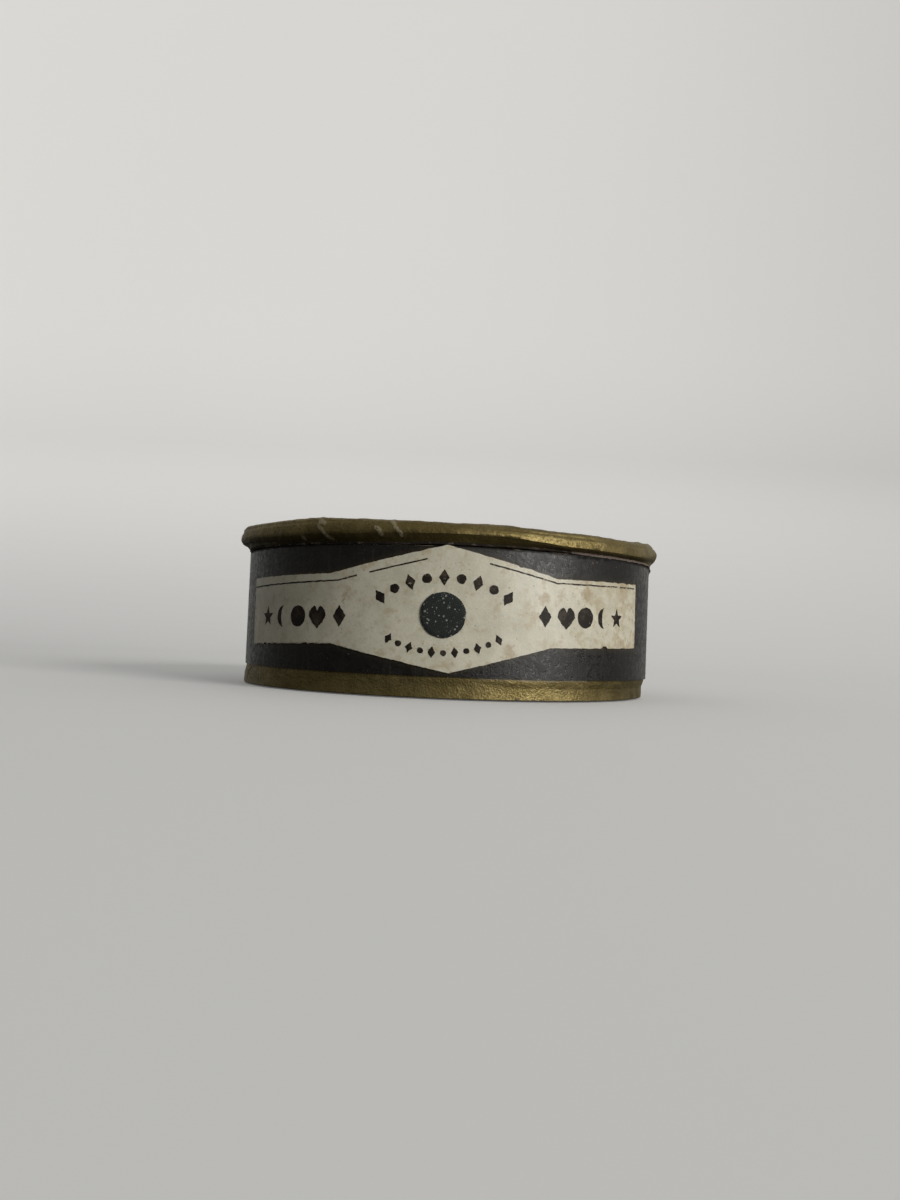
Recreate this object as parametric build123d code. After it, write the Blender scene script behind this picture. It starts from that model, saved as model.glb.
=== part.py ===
from build123d import *
import os
from math import cos, pi, sin

os.makedirs("parts", exist_ok=True)

# A small round cardboard box for beauty patches, in millimetres.
# It stands on its foot at z = 0, with its axis on Z and its label facing -Y.

# Driving dimensions of the outside
outer_diameter = 40.0  # over the dark paper on the wall
overall_height = 14.5  # from the underside to the top of the gilt bead
lid_height = 1.9  # how much of the height is the lid's bead
lid_overhang = 0.7  # how far the bead stands out past the wall
bead_round = 0.85  # radius of the bead's outer corners
foot_height = 1.9  # how much of the height is the gilt foot
foot_inset = 0.25  # how far the foot's edge stands inside the wall's face
foot_shift = 0.2  # the foot was glued this far off centre, to the left
foot_flare = 0.8  # height over which the foot widens to meet the wall
foot_round = 0.3  # radius of the foot's bottom edge

# Boards and papers
tube_board = 1.0
neck_board = 0.6
lid_board_thickness = 0.5
gilt_paper = 0.12
wrap_paper = 0.15
sleeve_paper = 0.1
floor_paper_thickness = 0.1
underside_paper = 0.1
top_paper = 0.1
lid_lining = 0.08

# Fits and margins
neck_running_gap = 0.08  # radial, between the neck and the lid's rim
neck_top_gap = 0.08  # between the neck's top and the lid's lining
bead_proud = 0.12  # how far the bead stands above the top paper
wrap_margin = 0.05  # bare board above the dark paper's top edge
floor_gap = 0.03  # round the edge of a paper disc laid into a ring
wrap_lap = 3.0  # overlap of the dark paper's ends, at the back
gilt_turn_over = 1.0  # gilt paper turned over onto the lid's board
gilt_turn_under = 3.2  # gilt paper turned under the foot
paper_cover = 0.6  # how far a paper disc covers the gilt's turned edge

# Label, measured flat
label_paper = 0.12
label_left = 21.4  # from the middle of the bulge to the left end
label_right = 20.7  # from the middle of the bulge to the right end
label_band = 6.0  # height of the two side bands
label_bulge_width = 19.7  # between the bends
label_turn = -1.0  # degrees round the wall from straight ahead
label_tilt = 1.3  # degrees, its right end higher
label_top_margin = 0.12  # from its top apex to the top of the wall
label_bottom_margin = 0.28  # from its bottom apex to the foot

# Patches
patch_cloth = 0.15
sample_diameter = 3.75
sample_drop = 0.4  # from the label's middle down to the patch's middle
round_diameter = 3.6
dot_diameter = 2.2
crescent_diameter = 4.4
crescent_bite = 1.3  # how far the cut circle is set off
star_diameter = 4.8
heart_width = 4.0
lozenge_length = 4.6
lozenge_width = 3.0
patch_margin = 4.2  # from the neck's inside to the outer row's middle
row_spacing = 6.0  # between the rows of loose patches

# Radii and levels worked out from the above
outer_radius = outer_diameter / 2
tube_outer = outer_radius - wrap_paper
tube_inner = tube_outer - tube_board
neck_inner = tube_inner - neck_board - 2 * sleeve_paper
wall_top = overall_height - lid_height
lid_radius = outer_radius + lid_overhang
rim_bore = tube_inner + neck_running_gap
lid_paper_top = overall_height - bead_proud
lid_board_top = lid_paper_top - top_paper
lid_board_bottom = lid_board_top - lid_board_thickness
lid_inside = lid_board_bottom - lid_lining
neck_top = lid_inside - neck_top_gap
foot_radius = outer_radius - foot_inset
floor_level = foot_height + floor_paper_thickness
label_high = wall_top - label_top_margin
label_low = foot_height + label_bottom_margin
label_height = (label_high + label_low) / 2
UP = (Align.CENTER, Align.CENTER, Align.MIN)


def disc(radius, bottom, top):
    """A flat round piece between two levels."""
    return Pos(0, 0, bottom) * Cylinder(radius, top - bottom, align=UP)


def ring(outer, inner, bottom, top):
    """A straight tube between two levels."""
    return disc(outer, bottom, top) - disc(inner, bottom, top)


def turned(radius, degrees):
    """A point on the wall, at an angle from straight ahead towards +X."""
    angle = degrees * pi / 180
    return (radius * sin(angle), -radius * cos(angle))


# Foot
def foot(inset):
    """The foot's outer form, or its core under a paper of thickness inset."""
    bottom = underside_paper + inset
    shoulder = foot_height - foot_flare
    straight = disc(foot_radius - inset, bottom, shoulder)
    lower_edge = straight.edges().group_by(Axis.Z)[0]
    straight = Pos(-foot_shift, 0, 0) * fillet(lower_edge, foot_round - inset)
    low = Pos(-foot_shift, 0, shoulder) * Circle(foot_radius - inset)
    high = Pos(0, 0, foot_height) * Circle(tube_outer - inset)
    return straight + loft([low, high])


def base_gilt_edging():
    """Gilt paper round the foot's edge, turned under it as a flat ring."""
    open_middle = disc(foot_radius - gilt_turn_under, 0, foot_height)
    return foot(0) - foot(gilt_paper) - Pos(-foot_shift, 0, 0) * open_middle


def base_board():
    """The thick board of the foot, pressed in under the turned gilt paper."""
    return foot(0) - base_gilt_edging()


def base_underside_paper():
    """The paper that the box stands on, which hides the gilt paper's edge."""
    radius = foot_radius - gilt_turn_under + paper_cover
    return Pos(-foot_shift, 0, 0) * disc(radius, 0, underside_paper)


# Wall
def wall_tube():
    return ring(tube_outer, tube_inner, foot_height, wall_top)


def neck_sleeve():
    """The neck with its paper: outside, over the top edge and inside."""
    return ring(tube_inner, neck_inner, foot_height, neck_top)


def neck_ring():
    """The inner tube, whose top stands above the wall as the neck."""
    outer = tube_inner - sleeve_paper
    return ring(outer, outer - neck_board, foot_height, neck_top - sleeve_paper)


def neck_paper():
    return neck_sleeve() - neck_ring()


def wall_wrap_paper():
    """Dark paper round the wall, with its end lapped over at the back."""
    bottom = foot_height
    top = wall_top - wrap_margin
    sheet = ring(outer_radius, tube_outer, bottom, top)
    half_lap = Pos(0, outer_radius, bottom) * Box(wrap_lap, wrap_paper * 4, top - bottom, align=UP)
    lap = ring(outer_radius + wrap_paper, outer_radius, bottom, top) & half_lap
    return sheet + lap


def floor_paper():
    return disc(neck_inner - floor_gap, foot_height, floor_level)


# Label
def on_wall(sketch, inner, thickness):
    """A flat outline, drawn as seen from the front, laid on the wall as a sheet of paper."""
    prism = extrude(Plane.XZ * sketch, amount=outer_radius * 2)
    return ring(inner + thickness, inner, 0, overall_height) & prism


def label_outline():
    """The die-cut outline with its bulge, tilted as it was glued."""
    half_band = label_band / 2
    half_bulge = (label_high - label_low) / 2
    bend = label_bulge_width / 2
    flat = [
        (-label_left, half_band),
        (-bend, half_band),
        (0, half_bulge),
        (bend, half_band),
        (label_right, half_band),
        (label_right, -half_band),
        (bend, -half_band),
        (0, -half_bulge),
        (-bend, -half_band),
        (-label_left, -half_band),
    ]
    tilt = label_tilt * pi / 180
    points = []
    for along, up in flat:
        arc = along * cos(tilt) - up * sin(tilt)
        height = label_height + along * sin(tilt) + up * cos(tilt)
        seen = turned(outer_radius, label_turn + arc / outer_radius * 180 / pi)[0]
        points.append((seen, height))
    return make_face(Polyline(points, close=True))


def side_label():
    return on_wall(label_outline(), outer_radius, label_paper)


def sample_patch():
    """One black patch, stuck on the middle of the label as a sample."""
    place = turned(outer_radius, label_turn)[0]
    spot = Pos(place, label_height - sample_drop) * Circle(sample_diameter / 2)
    return on_wall(spot, outer_radius + label_paper, patch_cloth)


# Lid
def bead(inset):
    """The round rim of the lid, or its core under a paper of thickness inset."""
    outer = lid_radius - inset
    low = wall_top + inset
    high = overall_height - inset
    corners = [(rim_bore, low), (outer, low), (outer, high), (rim_bore, high)]
    section = make_face(Polyline(corners, close=True))
    outside = section.vertices().sort_by(Axis.X)[-2:]
    section = fillet(outside, bead_round - inset)
    return revolve(Plane.XZ * section, Axis.Z)


def lid_rim_ring():
    return bead(gilt_paper)


def lid_gilt_edging():
    """Gilt paper under, round and over the bead, and down onto the lid's board."""
    low = lid_board_top - gilt_paper
    skin = bead(0) - bead(gilt_paper)
    drop = ring(rim_bore, rim_bore - gilt_paper, low, overall_height)
    flange = ring(rim_bore, rim_bore - gilt_paper - gilt_turn_over, low, lid_board_top)
    return skin + drop + flange


def lid_board():
    """The thin board inside the bead, pressed in under the turned gilt paper."""
    return disc(rim_bore, lid_board_bottom, lid_board_top) - lid_gilt_edging()


def lid_top_paper():
    radius = rim_bore - gilt_paper - gilt_turn_over + paper_cover
    return disc(radius, lid_board_top, lid_paper_top)


def lid_lining_paper():
    return disc(rim_bore - floor_gap, lid_inside, lid_board_bottom)


# Loose patches
def round_outline():
    return Circle(round_diameter / 2)


def dot_outline():
    return Circle(dot_diameter / 2)


def crescent_outline():
    bite = Pos(crescent_bite, 0) * Circle(crescent_diameter / 2 - crescent_bite / 4)
    return Circle(crescent_diameter / 2) - bite


def star_outline():
    """A star of five points."""
    points = []
    for corner in range(10):
        radius = star_diameter / 2 if corner % 2 == 0 else star_diameter * 0.2
        angle = pi / 2 + corner * pi / 5
        points.append((radius * cos(angle), radius * sin(angle)))
    return make_face(Polyline(points, close=True))


def heart_outline():
    """Two round lobes over a point."""
    lobe = heart_width / 4
    low = -heart_width * 0.6
    left = Pos(-lobe, 0) * Circle(lobe)
    right = Pos(lobe, 0) * Circle(lobe)
    point = make_face(Polyline([(-2 * lobe, 0), (0, low), (2 * lobe, 0)], close=True))
    return left + right + point


def lozenge_outline():
    long = lozenge_length / 2
    short = lozenge_width / 2
    return make_face(Polyline([(-short, 0), (0, -long), (short, 0), (0, long)], close=True))


outlines = {
    "round_patches": round_outline,
    "crescent_patches": crescent_outline,
    "star_patches": star_outline,
    "dot_patches": dot_outline,
    "heart_patches": heart_outline,
    "lozenge_patches": lozenge_outline,
}


def loose_places():
    """Where the loose patches lie: uneven rows round the middle, each turned its own way."""
    places = []
    outer_row = neck_inner - patch_margin
    for row, count in enumerate([12, 7, 2]):
        radius = outer_row - row * row_spacing
        for step in range(count):
            wander = 0.5 * sin(2.3 * len(places))
            angle = 2 * pi * step / count + 0.12 * cos(1.7 * len(places)) + row
            turn = 137.5 * len(places)
            reach = max(radius, dot_diameter) + wander
            places.append((reach * cos(angle), reach * sin(angle), turn))
    return places


def loose_patches(kind):
    """The loose patches of one kind, every sixth place in turn."""
    first = list(outlines).index(kind)
    cut = extrude(outlines[kind](), amount=patch_cloth)
    places = loose_places()[first :: len(outlines)]
    return Compound([Pos(x, y, floor_level) * Rot(0, 0, turn) * cut for x, y, turn in places])


pieces = {
    "base_board": base_board,
    "base_gilt_edging": base_gilt_edging,
    "base_underside_paper": base_underside_paper,
    "wall_tube": wall_tube,
    "neck_ring": neck_ring,
    "neck_paper": neck_paper,
    "wall_wrap_paper": wall_wrap_paper,
    "floor_paper": floor_paper,
    "side_label": side_label,
    "sample_patch": sample_patch,
    "lid_rim_ring": lid_rim_ring,
    "lid_gilt_edging": lid_gilt_edging,
    "lid_board": lid_board,
    "lid_top_paper": lid_top_paper,
    "lid_lining_paper": lid_lining_paper,
}

for name, make in pieces.items():
    export_step(make(), f"parts/{name}.step")

for name in outlines:
    export_step(loose_patches(name), f"parts/{name}.step")
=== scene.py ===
# %% [markdown]
# # A patch box
# This is a small round box of board and paper for beauty patches. A thick board disc edged in
# gilt paper is its foot, dark paper wraps its wall, a cream label goes round the front, and a
# shallow lid with a round gilt bead slips over a low neck. The measured parts are loaded first,
# as a frame that never moves. Each paper and board is then shaped and finished over it.

# %% The frame
import bmesh
import bpy
import math
from mathutils import Matrix, Vector, noise


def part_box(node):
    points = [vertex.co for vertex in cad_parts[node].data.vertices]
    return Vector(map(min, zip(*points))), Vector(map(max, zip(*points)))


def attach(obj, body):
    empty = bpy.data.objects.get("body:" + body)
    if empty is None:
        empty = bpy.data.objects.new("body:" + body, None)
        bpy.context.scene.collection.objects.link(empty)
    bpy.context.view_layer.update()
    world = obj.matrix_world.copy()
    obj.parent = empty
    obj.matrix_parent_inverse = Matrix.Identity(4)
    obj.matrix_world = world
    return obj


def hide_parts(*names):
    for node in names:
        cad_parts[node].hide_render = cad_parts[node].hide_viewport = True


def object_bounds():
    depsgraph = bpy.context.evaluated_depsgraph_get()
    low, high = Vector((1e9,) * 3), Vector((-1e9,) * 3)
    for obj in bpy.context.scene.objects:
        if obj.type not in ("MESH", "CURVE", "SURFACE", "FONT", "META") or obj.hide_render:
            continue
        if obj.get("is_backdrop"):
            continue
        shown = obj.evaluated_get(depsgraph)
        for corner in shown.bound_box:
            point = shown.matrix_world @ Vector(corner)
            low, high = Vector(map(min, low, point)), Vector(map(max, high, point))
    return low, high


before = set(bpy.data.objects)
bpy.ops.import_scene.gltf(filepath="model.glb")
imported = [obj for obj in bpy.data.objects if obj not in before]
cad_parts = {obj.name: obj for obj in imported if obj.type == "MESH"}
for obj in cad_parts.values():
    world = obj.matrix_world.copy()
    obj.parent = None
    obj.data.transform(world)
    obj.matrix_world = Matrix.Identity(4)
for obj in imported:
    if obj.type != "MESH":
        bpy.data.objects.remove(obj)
cad_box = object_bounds()
MM = 0.001
print("nodes in the frame:", len(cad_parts))

# %% [markdown]
# ## Camera
# The photograph was taken from close by, level with the lower half of the wall and tipped a
# little to one side. The camera could be turned by three angles, but its own three axes say
# the same more plainly, so its matrix is filled with them.

# %% Camera
bpy.ops.object.select_all(action="DESELECT")
bpy.ops.object.camera_add()
camera = bpy.context.object
camera.name = "camera"
ahead = Vector((0.0, 0.99919, 0.04025))
above = Vector((-0.04073, -0.04022, 0.99836))
aside = ahead.cross(above)
camera_place = Vector((0.17, -99.48, 4.98)) * MM
camera_turn = Matrix((aside, above, -ahead)).transposed().to_4x4()
camera.matrix_world = Matrix.Translation(camera_place) @ camera_turn
camera.data.lens = 29.19
camera.data.sensor_width = 36
camera.data.clip_start = 2 * MM
camera.data.clip_end = 5
bpy.context.scene.camera = camera
print("camera at", [round(c / MM, 1) for c in camera.location], "mm")

# %% [markdown]
# ## Helpers for shaping
# Blender's tools work on what is selected. These helpers start a piece at its size and place,
# select parts of it by where they are, and copy and join pieces, all in millimetres, so that
# the cells below read like steps at a bench.

# %% Helpers for selecting and shaping
def angle_of(place):
    """Degrees round the box, from straight ahead towards +X."""
    return math.degrees(math.atan2(place.x, -place.y))


def radius_of(place):
    """Millimetres from the box's axis."""
    return math.hypot(place.x, place.y)


def take(piece):
    """Makes a piece the only one that is selected, and the one that the tools work on."""
    bpy.ops.object.select_all(action="DESELECT")
    piece.select_set(True)
    bpy.context.view_layer.objects.active = piece


def copied(original):
    """A copy of a piece, with a mesh of its own."""
    piece = original.copy()
    piece.data = original.data.copy()
    bpy.context.collection.objects.link(piece)
    take(piece)
    return piece


def joined(pieces, into):
    """Joins some pieces into one of them."""
    take(into)
    for piece in pieces:
        piece.select_set(True)
    bpy.ops.object.join()
    return bpy.context.object


def primitive(add, name, spread=(1, 1, 1), place=(0, 0, 0), turn=(0, 0, 0), **options):
    """A primitive of Blender's at its size and place, in millimetres, as a start for a piece."""
    bpy.ops.object.select_all(action="DESELECT")
    add(**options)
    piece = bpy.context.object
    piece.name = piece.data.name = name
    piece.location = Vector(place) * MM
    piece.rotation_euler = turn
    piece.scale = Vector(spread) * MM
    bpy.ops.object.transform_apply(location=True, rotation=True, scale=True)
    return piece


def pick(piece, test, kind="VERT"):
    """In edit mode, selects what has all its vertices in a place that passes the test."""
    bpy.ops.mesh.select_mode(type=kind)
    bpy.ops.mesh.select_all(action="DESELECT")
    mesh = bmesh.from_edit_mesh(piece.data)
    parts = {"VERT": mesh.verts, "EDGE": mesh.edges, "FACE": mesh.faces}[kind]
    for part in parts:
        corners = [part] if kind == "VERT" else part.verts
        part.select_set(all(test(corner.co / MM) for corner in corners))
    mesh.select_flush_mode()
    bmesh.update_edit_mesh(piece.data)


def pick_all():
    """In edit mode, selects everything."""
    bpy.ops.mesh.select_all(action="SELECT")


def edit(on=True):
    """Goes into edit mode, or out of it."""
    bpy.ops.object.mode_set(mode="EDIT" if on else "OBJECT")


def move(x=0, y=0, z=0):
    """In edit mode, moves what is selected."""
    bpy.ops.transform.translate(value=(x * MM, y * MM, z * MM))


# %% [markdown]
# ## Floor
# A pale sheet of paper lies under the box and sweeps up all round, so no line shows where the
# floor ends from any side. It is a plane whose edges are extruded upwards, with the folds
# beveled into curves. The sheet is close behind the box, and far off on the camera's side.

# %% Floor
floor_wide, floor_deep = 900, 640
floor_middle = -160
floor_sides = 600
fold_round = 55
floor = primitive(
    bpy.ops.mesh.primitive_plane_add, "floor", (floor_wide, floor_deep, 1),
    (0, floor_middle, 0), size=1)
edit()
bpy.ops.mesh.select_mode(type="EDGE")
pick_all()
bpy.ops.mesh.extrude_edges_move(TRANSFORM_OT_translate={"value": (0, 0, floor_sides * MM)})
pick(floor, lambda p: p.z < 1, "EDGE")
bpy.ops.mesh.bevel(offset=fold_round * MM, segments=24, affect="EDGES")
pick_all()
bpy.ops.mesh.normals_make_consistent(inside=True)
edit(False)
bpy.ops.object.shade_smooth()
floor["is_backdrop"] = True
print("floor faces:", len(floor.data.polygons))

# %% [markdown]
# ## Light
# One soft light stands at the right, a little above the box and on the camera's side, as a
# window would. It is a lamp over two metres wide and five metres off. The backdrop stands in
# between, but casts no shadow and so lets the light in. Round the rest, the room is brighter
# above, behind and to the right, and dark below. In the photograph nothing pale lay under the
# foot to light the bead from below, so the floor is seen and takes shadows, but throws no light.

# %% Window
def lamp(name, azimuth, elevation, distance, width, power, colour):
    """A square area light aimed at the box, placed by its direction from it, in degrees."""
    a, e = math.radians(azimuth), math.radians(elevation)
    outward = Vector((math.sin(a) * math.cos(e), -math.cos(a) * math.cos(e), math.sin(e)))
    bpy.ops.object.light_add(type="AREA", location=outward * distance * MM)
    light = bpy.context.object
    light.name = name
    light.rotation_euler = outward.to_track_quat("Z", "Y").to_euler()
    light.data.size = width * MM
    light.data.energy = power
    light.data.color = colour
    light.visible_camera = False
    return light


lamp("window_light", azimuth=50, elevation=15, distance=5000, width=2287, power=179,
     colour=(1.0, 0.98, 0.95))
for ray in ("visible_diffuse", "visible_glossy", "visible_shadow"):
    setattr(floor, ray, False)
bpy.context.scene.view_settings.view_transform = "Standard"

# %% [markdown]
# ## Effects that several finishes share
# Paper grain, brown spots, rubbing, weave and specks turn up on more than one paper or cloth,
# and wrinkles on both gilt papers. Each is a node group with named inputs and outputs, so a
# finish only says how coarse or how strong the effect is. The groups give masks, tones and
# heights, and the shader itself stays in the material.

# %% Helpers for nodes
def wire(tree, kind, inputs=None, **settings):
    """Adds a node, and fills its inputs with numbers or with other nodes' outputs."""
    made = tree.nodes.new("ShaderNode" + kind)
    for name, value in settings.items():
        setattr(made, name, value)
    for name, value in (inputs or {}).items():
        if isinstance(value, bpy.types.NodeSocket):
            tree.links.new(value, made.inputs[name])
        else:
            made.inputs[name].default_value = value
    return made


def ramp(tree, value, low, high, bottom=0.0, top=1.0):
    """Stretches a value between low and high over bottom to top, with soft ends."""
    spread = wire(tree, "MapRange", {"Value": value}, interpolation_type="SMOOTHSTEP")
    for name, number in zip(("From Min", "From Max", "To Min", "To Max"), (low, high, bottom, top)):
        spread.inputs[name].default_value = number
    return spread.outputs["Result"]


def maths(tree, operation, a, b):
    return wire(tree, "Math", {0: a, 1: b}, operation=operation).outputs[0]


def plus(tree, a, b):
    return maths(tree, "ADD", a, b)


def times(tree, a, b):
    return maths(tree, "MULTIPLY", a, b)


def mixed(tree, factor, a, b):
    """One colour over another, by a mask."""
    return wire(tree, "Mix", {0: factor, 6: a, 7: b}, data_type="RGBA").outputs[2]


def noise_of(tree, place, **options):
    """Blender's noise at a place, with the node's own inputs by name."""
    return wire(tree, "TexNoise", {"Vector": place, **options}).outputs["Fac"]


def clouds(tree, place, per_mm, detail=3, roughness=0.5):
    """Noise with so many blotches to the millimetre."""
    return noise_of(tree, place, Scale=per_mm / MM, Detail=detail, Roughness=roughness)


def effect(name, numbers, results):
    """An empty node group that takes a place and some numbers."""
    group = bpy.data.node_groups.new(name, "ShaderNodeTree")
    group.interface.new_socket("Place", in_out="INPUT", socket_type="NodeSocketVector")
    for title, value in numbers.items():
        socket = group.interface.new_socket(title, in_out="INPUT", socket_type="NodeSocketFloat")
        socket.default_value = value
    for title in results:
        group.interface.new_socket(title, in_out="OUTPUT", socket_type="NodeSocketFloat")
    given = group.nodes.new("NodeGroupInput").outputs
    return group, given, group.nodes.new("NodeGroupOutput").inputs


def use(tree, group, place, **numbers):
    """An effect placed in a material, with the material's own values."""
    made = tree.nodes.new("ShaderNodeGroup")
    made.node_tree = group
    tree.links.new(place, made.inputs["Place"])
    for name, value in numbers.items():
        title = name.replace("_", " ")
        if isinstance(value, bpy.types.NodeSocket):
            tree.links.new(value, made.inputs[title])
        else:
            made.inputs[title].default_value = value
    return made.outputs


def scaled_place(tree, place, per_mm):
    """The place multiplied by a group's own number of repeats to the millimetre."""
    factor = times(tree, per_mm, 1 / MM)
    return wire(tree, "VectorMath", {0: place, "Scale": factor}, operation="SCALE").outputs[0]


# %% [markdown]
# ## Room
# The room is the world's background, so it lights the box and shows in its gleams. Its strength
# is summed from soft ramps, one for each direction. The camera sees a plain grey in its place.

# %% Room
world = bpy.data.worlds.new("room")
bpy.context.scene.world = world
world.use_nodes = True
tree = world.node_tree
glow = tree.nodes["Background"]
sky = wire(tree, "SeparateXYZ", {0: wire(tree, "TexCoord").outputs["Generated"]}).outputs
overhead = ramp(tree, sky["Z"], -0.4, 0.7, 0.012, 0.29)
behind = ramp(tree, sky["Y"], 0.1, 0.9, 0.0, 0.27)
right = ramp(tree, sky["X"], -0.1, 0.9, 0.0, 0.07)
above_floor = ramp(tree, sky["Z"], -0.35, 0.1)
level = times(tree, plus(tree, behind, right), above_floor)
left = ramp(tree, sky["X"], -0.95, -0.3, 0.85, 1.0)
tree.links.new(times(tree, plus(tree, overhead, level), left), glow.inputs["Strength"])
glow.inputs["Color"].default_value = (1.0, 0.99, 0.94, 1)
plain_grey = wire(tree, "Background", {"Color": (0.76, 0.765, 0.77, 1)})
seen = wire(tree, "LightPath").outputs["Is Camera Ray"]
choice = wire(tree, "MixShader", {0: seen, 1: glow.outputs[0], 2: plain_grey.outputs[0]})
tree.links.new(choice.outputs[0], tree.nodes["World Output"].inputs["Surface"])
print("room's nodes:", len(tree.nodes))

# %% Paper grain
paper_grain, given, result = effect(
    "paper_grain", {"Fibres": 7.0, "Blotches": 0.6}, ["Tone", "Height"])
tree = paper_grain
fine_place = scaled_place(tree, given["Place"], given["Fibres"])
fine = noise_of(tree, fine_place, Scale=1.0, Detail=5.0, Roughness=0.65, Distortion=0.8)
broad_place = scaled_place(tree, given["Place"], given["Blotches"])
broad = noise_of(tree, broad_place, Scale=1.0, Detail=3.0)
tree.links.new(plus(tree, times(tree, fine, 0.45), times(tree, broad, 0.55)), result["Tone"])
tree.links.new(fine, result["Height"])

# %% Brown spots
brown_spots, given, result = effect("brown_spots", {"Size": 0.8, "Amount": 0.5}, ["Stain", "Speck"])
tree = brown_spots
sized = scaled_place(tree, given["Place"], given["Size"])
cloud = noise_of(tree, sized, Scale=0.5, Detail=4.0, Roughness=0.6)
frayed = noise_of(tree, sized, Scale=3.5, Detail=3.0)
damp = plus(tree, cloud, times(tree, given["Amount"], 0.3))
damp = plus(tree, damp, times(tree, frayed, 0.3))
tree.links.new(ramp(tree, damp, 0.83, 1.05), result["Stain"])
cells = wire(tree, "TexVoronoi", {"Vector": sized, "Scale": 2.2})
chance = wire(tree, "SeparateColor", {0: cells.outputs["Color"]}).outputs
chosen = ramp(tree, chance[0], 0.86, 0.9)
near = ramp(tree, cells.outputs["Distance"], 0.22, 0.05)
tree.links.new(times(tree, chosen, near), result["Speck"])

# %% Rubbing
rubbing, given, result = effect("rubbing", {"Worn": 0.0, "Grain": 4.0}, ["Mask"])
tree = rubbing
grain_place = scaled_place(tree, given["Place"], given["Grain"])
patchy = noise_of(tree, grain_place, Scale=1.0, Detail=4.0, Roughness=0.7)
tree.links.new(ramp(tree, plus(tree, patchy, given["Worn"]), 0.92, 1.12), result["Mask"])

# %% Weave
weave, given, result = effect("weave", {"Threads": 7.0}, ["Height"])
tree = weave
thread_place = scaled_place(tree, given["Place"], given["Threads"])
# The wave texture has a band to every unit at a scale of a twentieth of a full turn.
one_thread = 0.314
woven = {"Vector": thread_place, "Scale": one_thread, "Distortion": 0.4, "Detail": 1.0}
across = wire(tree, "TexWave", woven, bands_direction="X").outputs["Fac"]
along = wire(tree, "TexWave", woven, bands_direction="Y").outputs["Fac"]
tree.links.new(maths(tree, "MAXIMUM", across, along), result["Height"])

# %% Wrinkles that run round the box
long_wrinkles, given, result = effect("long_wrinkles", {"Long": 0.5, "Across": 2.5}, ["Height"])
tree = long_wrinkles
parts = wire(tree, "SeparateXYZ", {0: given["Place"]}).outputs
turn = maths(tree, "ARCTAN2", parts["X"], times(tree, parts["Y"], -1.0))
about_the_radius = 20.0
around = times(tree, times(tree, turn, given["Long"]), about_the_radius)
upward = times(tree, times(tree, parts["Z"], given["Across"]), 1 / MM)
unrolled = wire(tree, "CombineXYZ", {0: around, 1: upward}).outputs[0]
wrinkled = noise_of(tree, unrolled, Scale=1.0, Detail=4.0, Roughness=0.6, Distortion=0.6)
tree.links.new(wrinkled, result["Height"])

# %% Pale specks
pale_specks, given, result = effect(
    "pale_specks", {"Cells": 2.0, "Share": 0.3, "Size": 0.3}, ["Mask"])
tree = pale_specks
cell_place = scaled_place(tree, given["Place"], given["Cells"])
cells = wire(tree, "TexVoronoi", {"Vector": cell_place, "Scale": 1.0})
chance = wire(tree, "SeparateColor", {0: cells.outputs["Color"]}).outputs
shown = maths(tree, "LESS_THAN", chance[0], given["Share"])
reach = times(tree, chance[1], given["Size"])
inside = maths(tree, "LESS_THAN", cells.outputs["Distance"], reach)
tree.links.new(times(tree, shown, inside), result["Mask"])
print("effects:", [group.name for group in bpy.data.node_groups])

# %% [markdown]
# ## Finishes
# The photograph shows four papers and one cloth, and each finish gets its own material. They
# all read the object's own coordinates, because every piece keeps its place in its mesh, so the
# grain runs on without a seam where a sheet is bent round the box.

# %% Helpers for finishes
def material(name, roughness=0.5, **constants):
    """A material with its Principled shader, and the place that its patterns read."""
    made = bpy.data.materials.new(name)
    made.use_nodes = True
    tree = made.node_tree
    shader = tree.nodes["Principled BSDF"]
    shader.inputs["Roughness"].default_value = roughness
    for title, value in constants.items():
        shader.inputs[title.replace("_", " ")].default_value = value
    place = tree.nodes.new("ShaderNodeTexCoord").outputs["Object"]
    return made, tree, shader, place


def coloured(tree, shader, colour):
    tree.links.new(colour, shader.inputs["Base Color"])


def raised(tree, shader, height, depth, strength=1.0):
    """A bump of a depth in millimetres, joined to the shader."""
    bump = wire(tree, "Bump", {"Height": height, "Distance": depth * MM, "Strength": strength})
    tree.links.new(bump.outputs["Normal"], shader.inputs["Normal"])


def worn(tree, attribute):
    """How worn a place is, as painted on the piece."""
    return wire(tree, "Attribute", attribute_name=attribute).outputs["Fac"]


# %% [markdown]
# ### Gilt paper
# Bronze powder on thin paper: a dull metal that has browned, with fine crumples that break up
# its gleam, and cracks where the paper shows. A plain metal would look like brass sheet, so
# the colour and the roughness wander, and the cracks are painted on as wear. Painted shade
# darkens the bead's lower part and, mixed with dirt, the foot's creases and seam.

# %% Gilt paper
browned_bronze = (0.168, 0.129, 0.048, 1)
bright_bronze = (0.250, 0.197, 0.082, 1)
dark_fleck = (0.080, 0.057, 0.022, 1)
bronze_shade_and_grime = (0.018, 0.013, 0.008, 1)
bare_under_gilt = (0.29, 0.245, 0.155, 1)
gilt, tree, shader, place = material("gilt_paper")
tone = clouds(tree, place, 0.5, 4, 0.6)
flecks = clouds(tree, place, 5.0, 3, 0.65)
colour = mixed(tree, ramp(tree, tone, 0.3, 0.7), browned_bronze, bright_bronze)
colour = mixed(tree, ramp(tree, flecks, 0.52, 0.70, 0, 0.62), colour, dark_fleck)
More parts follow.
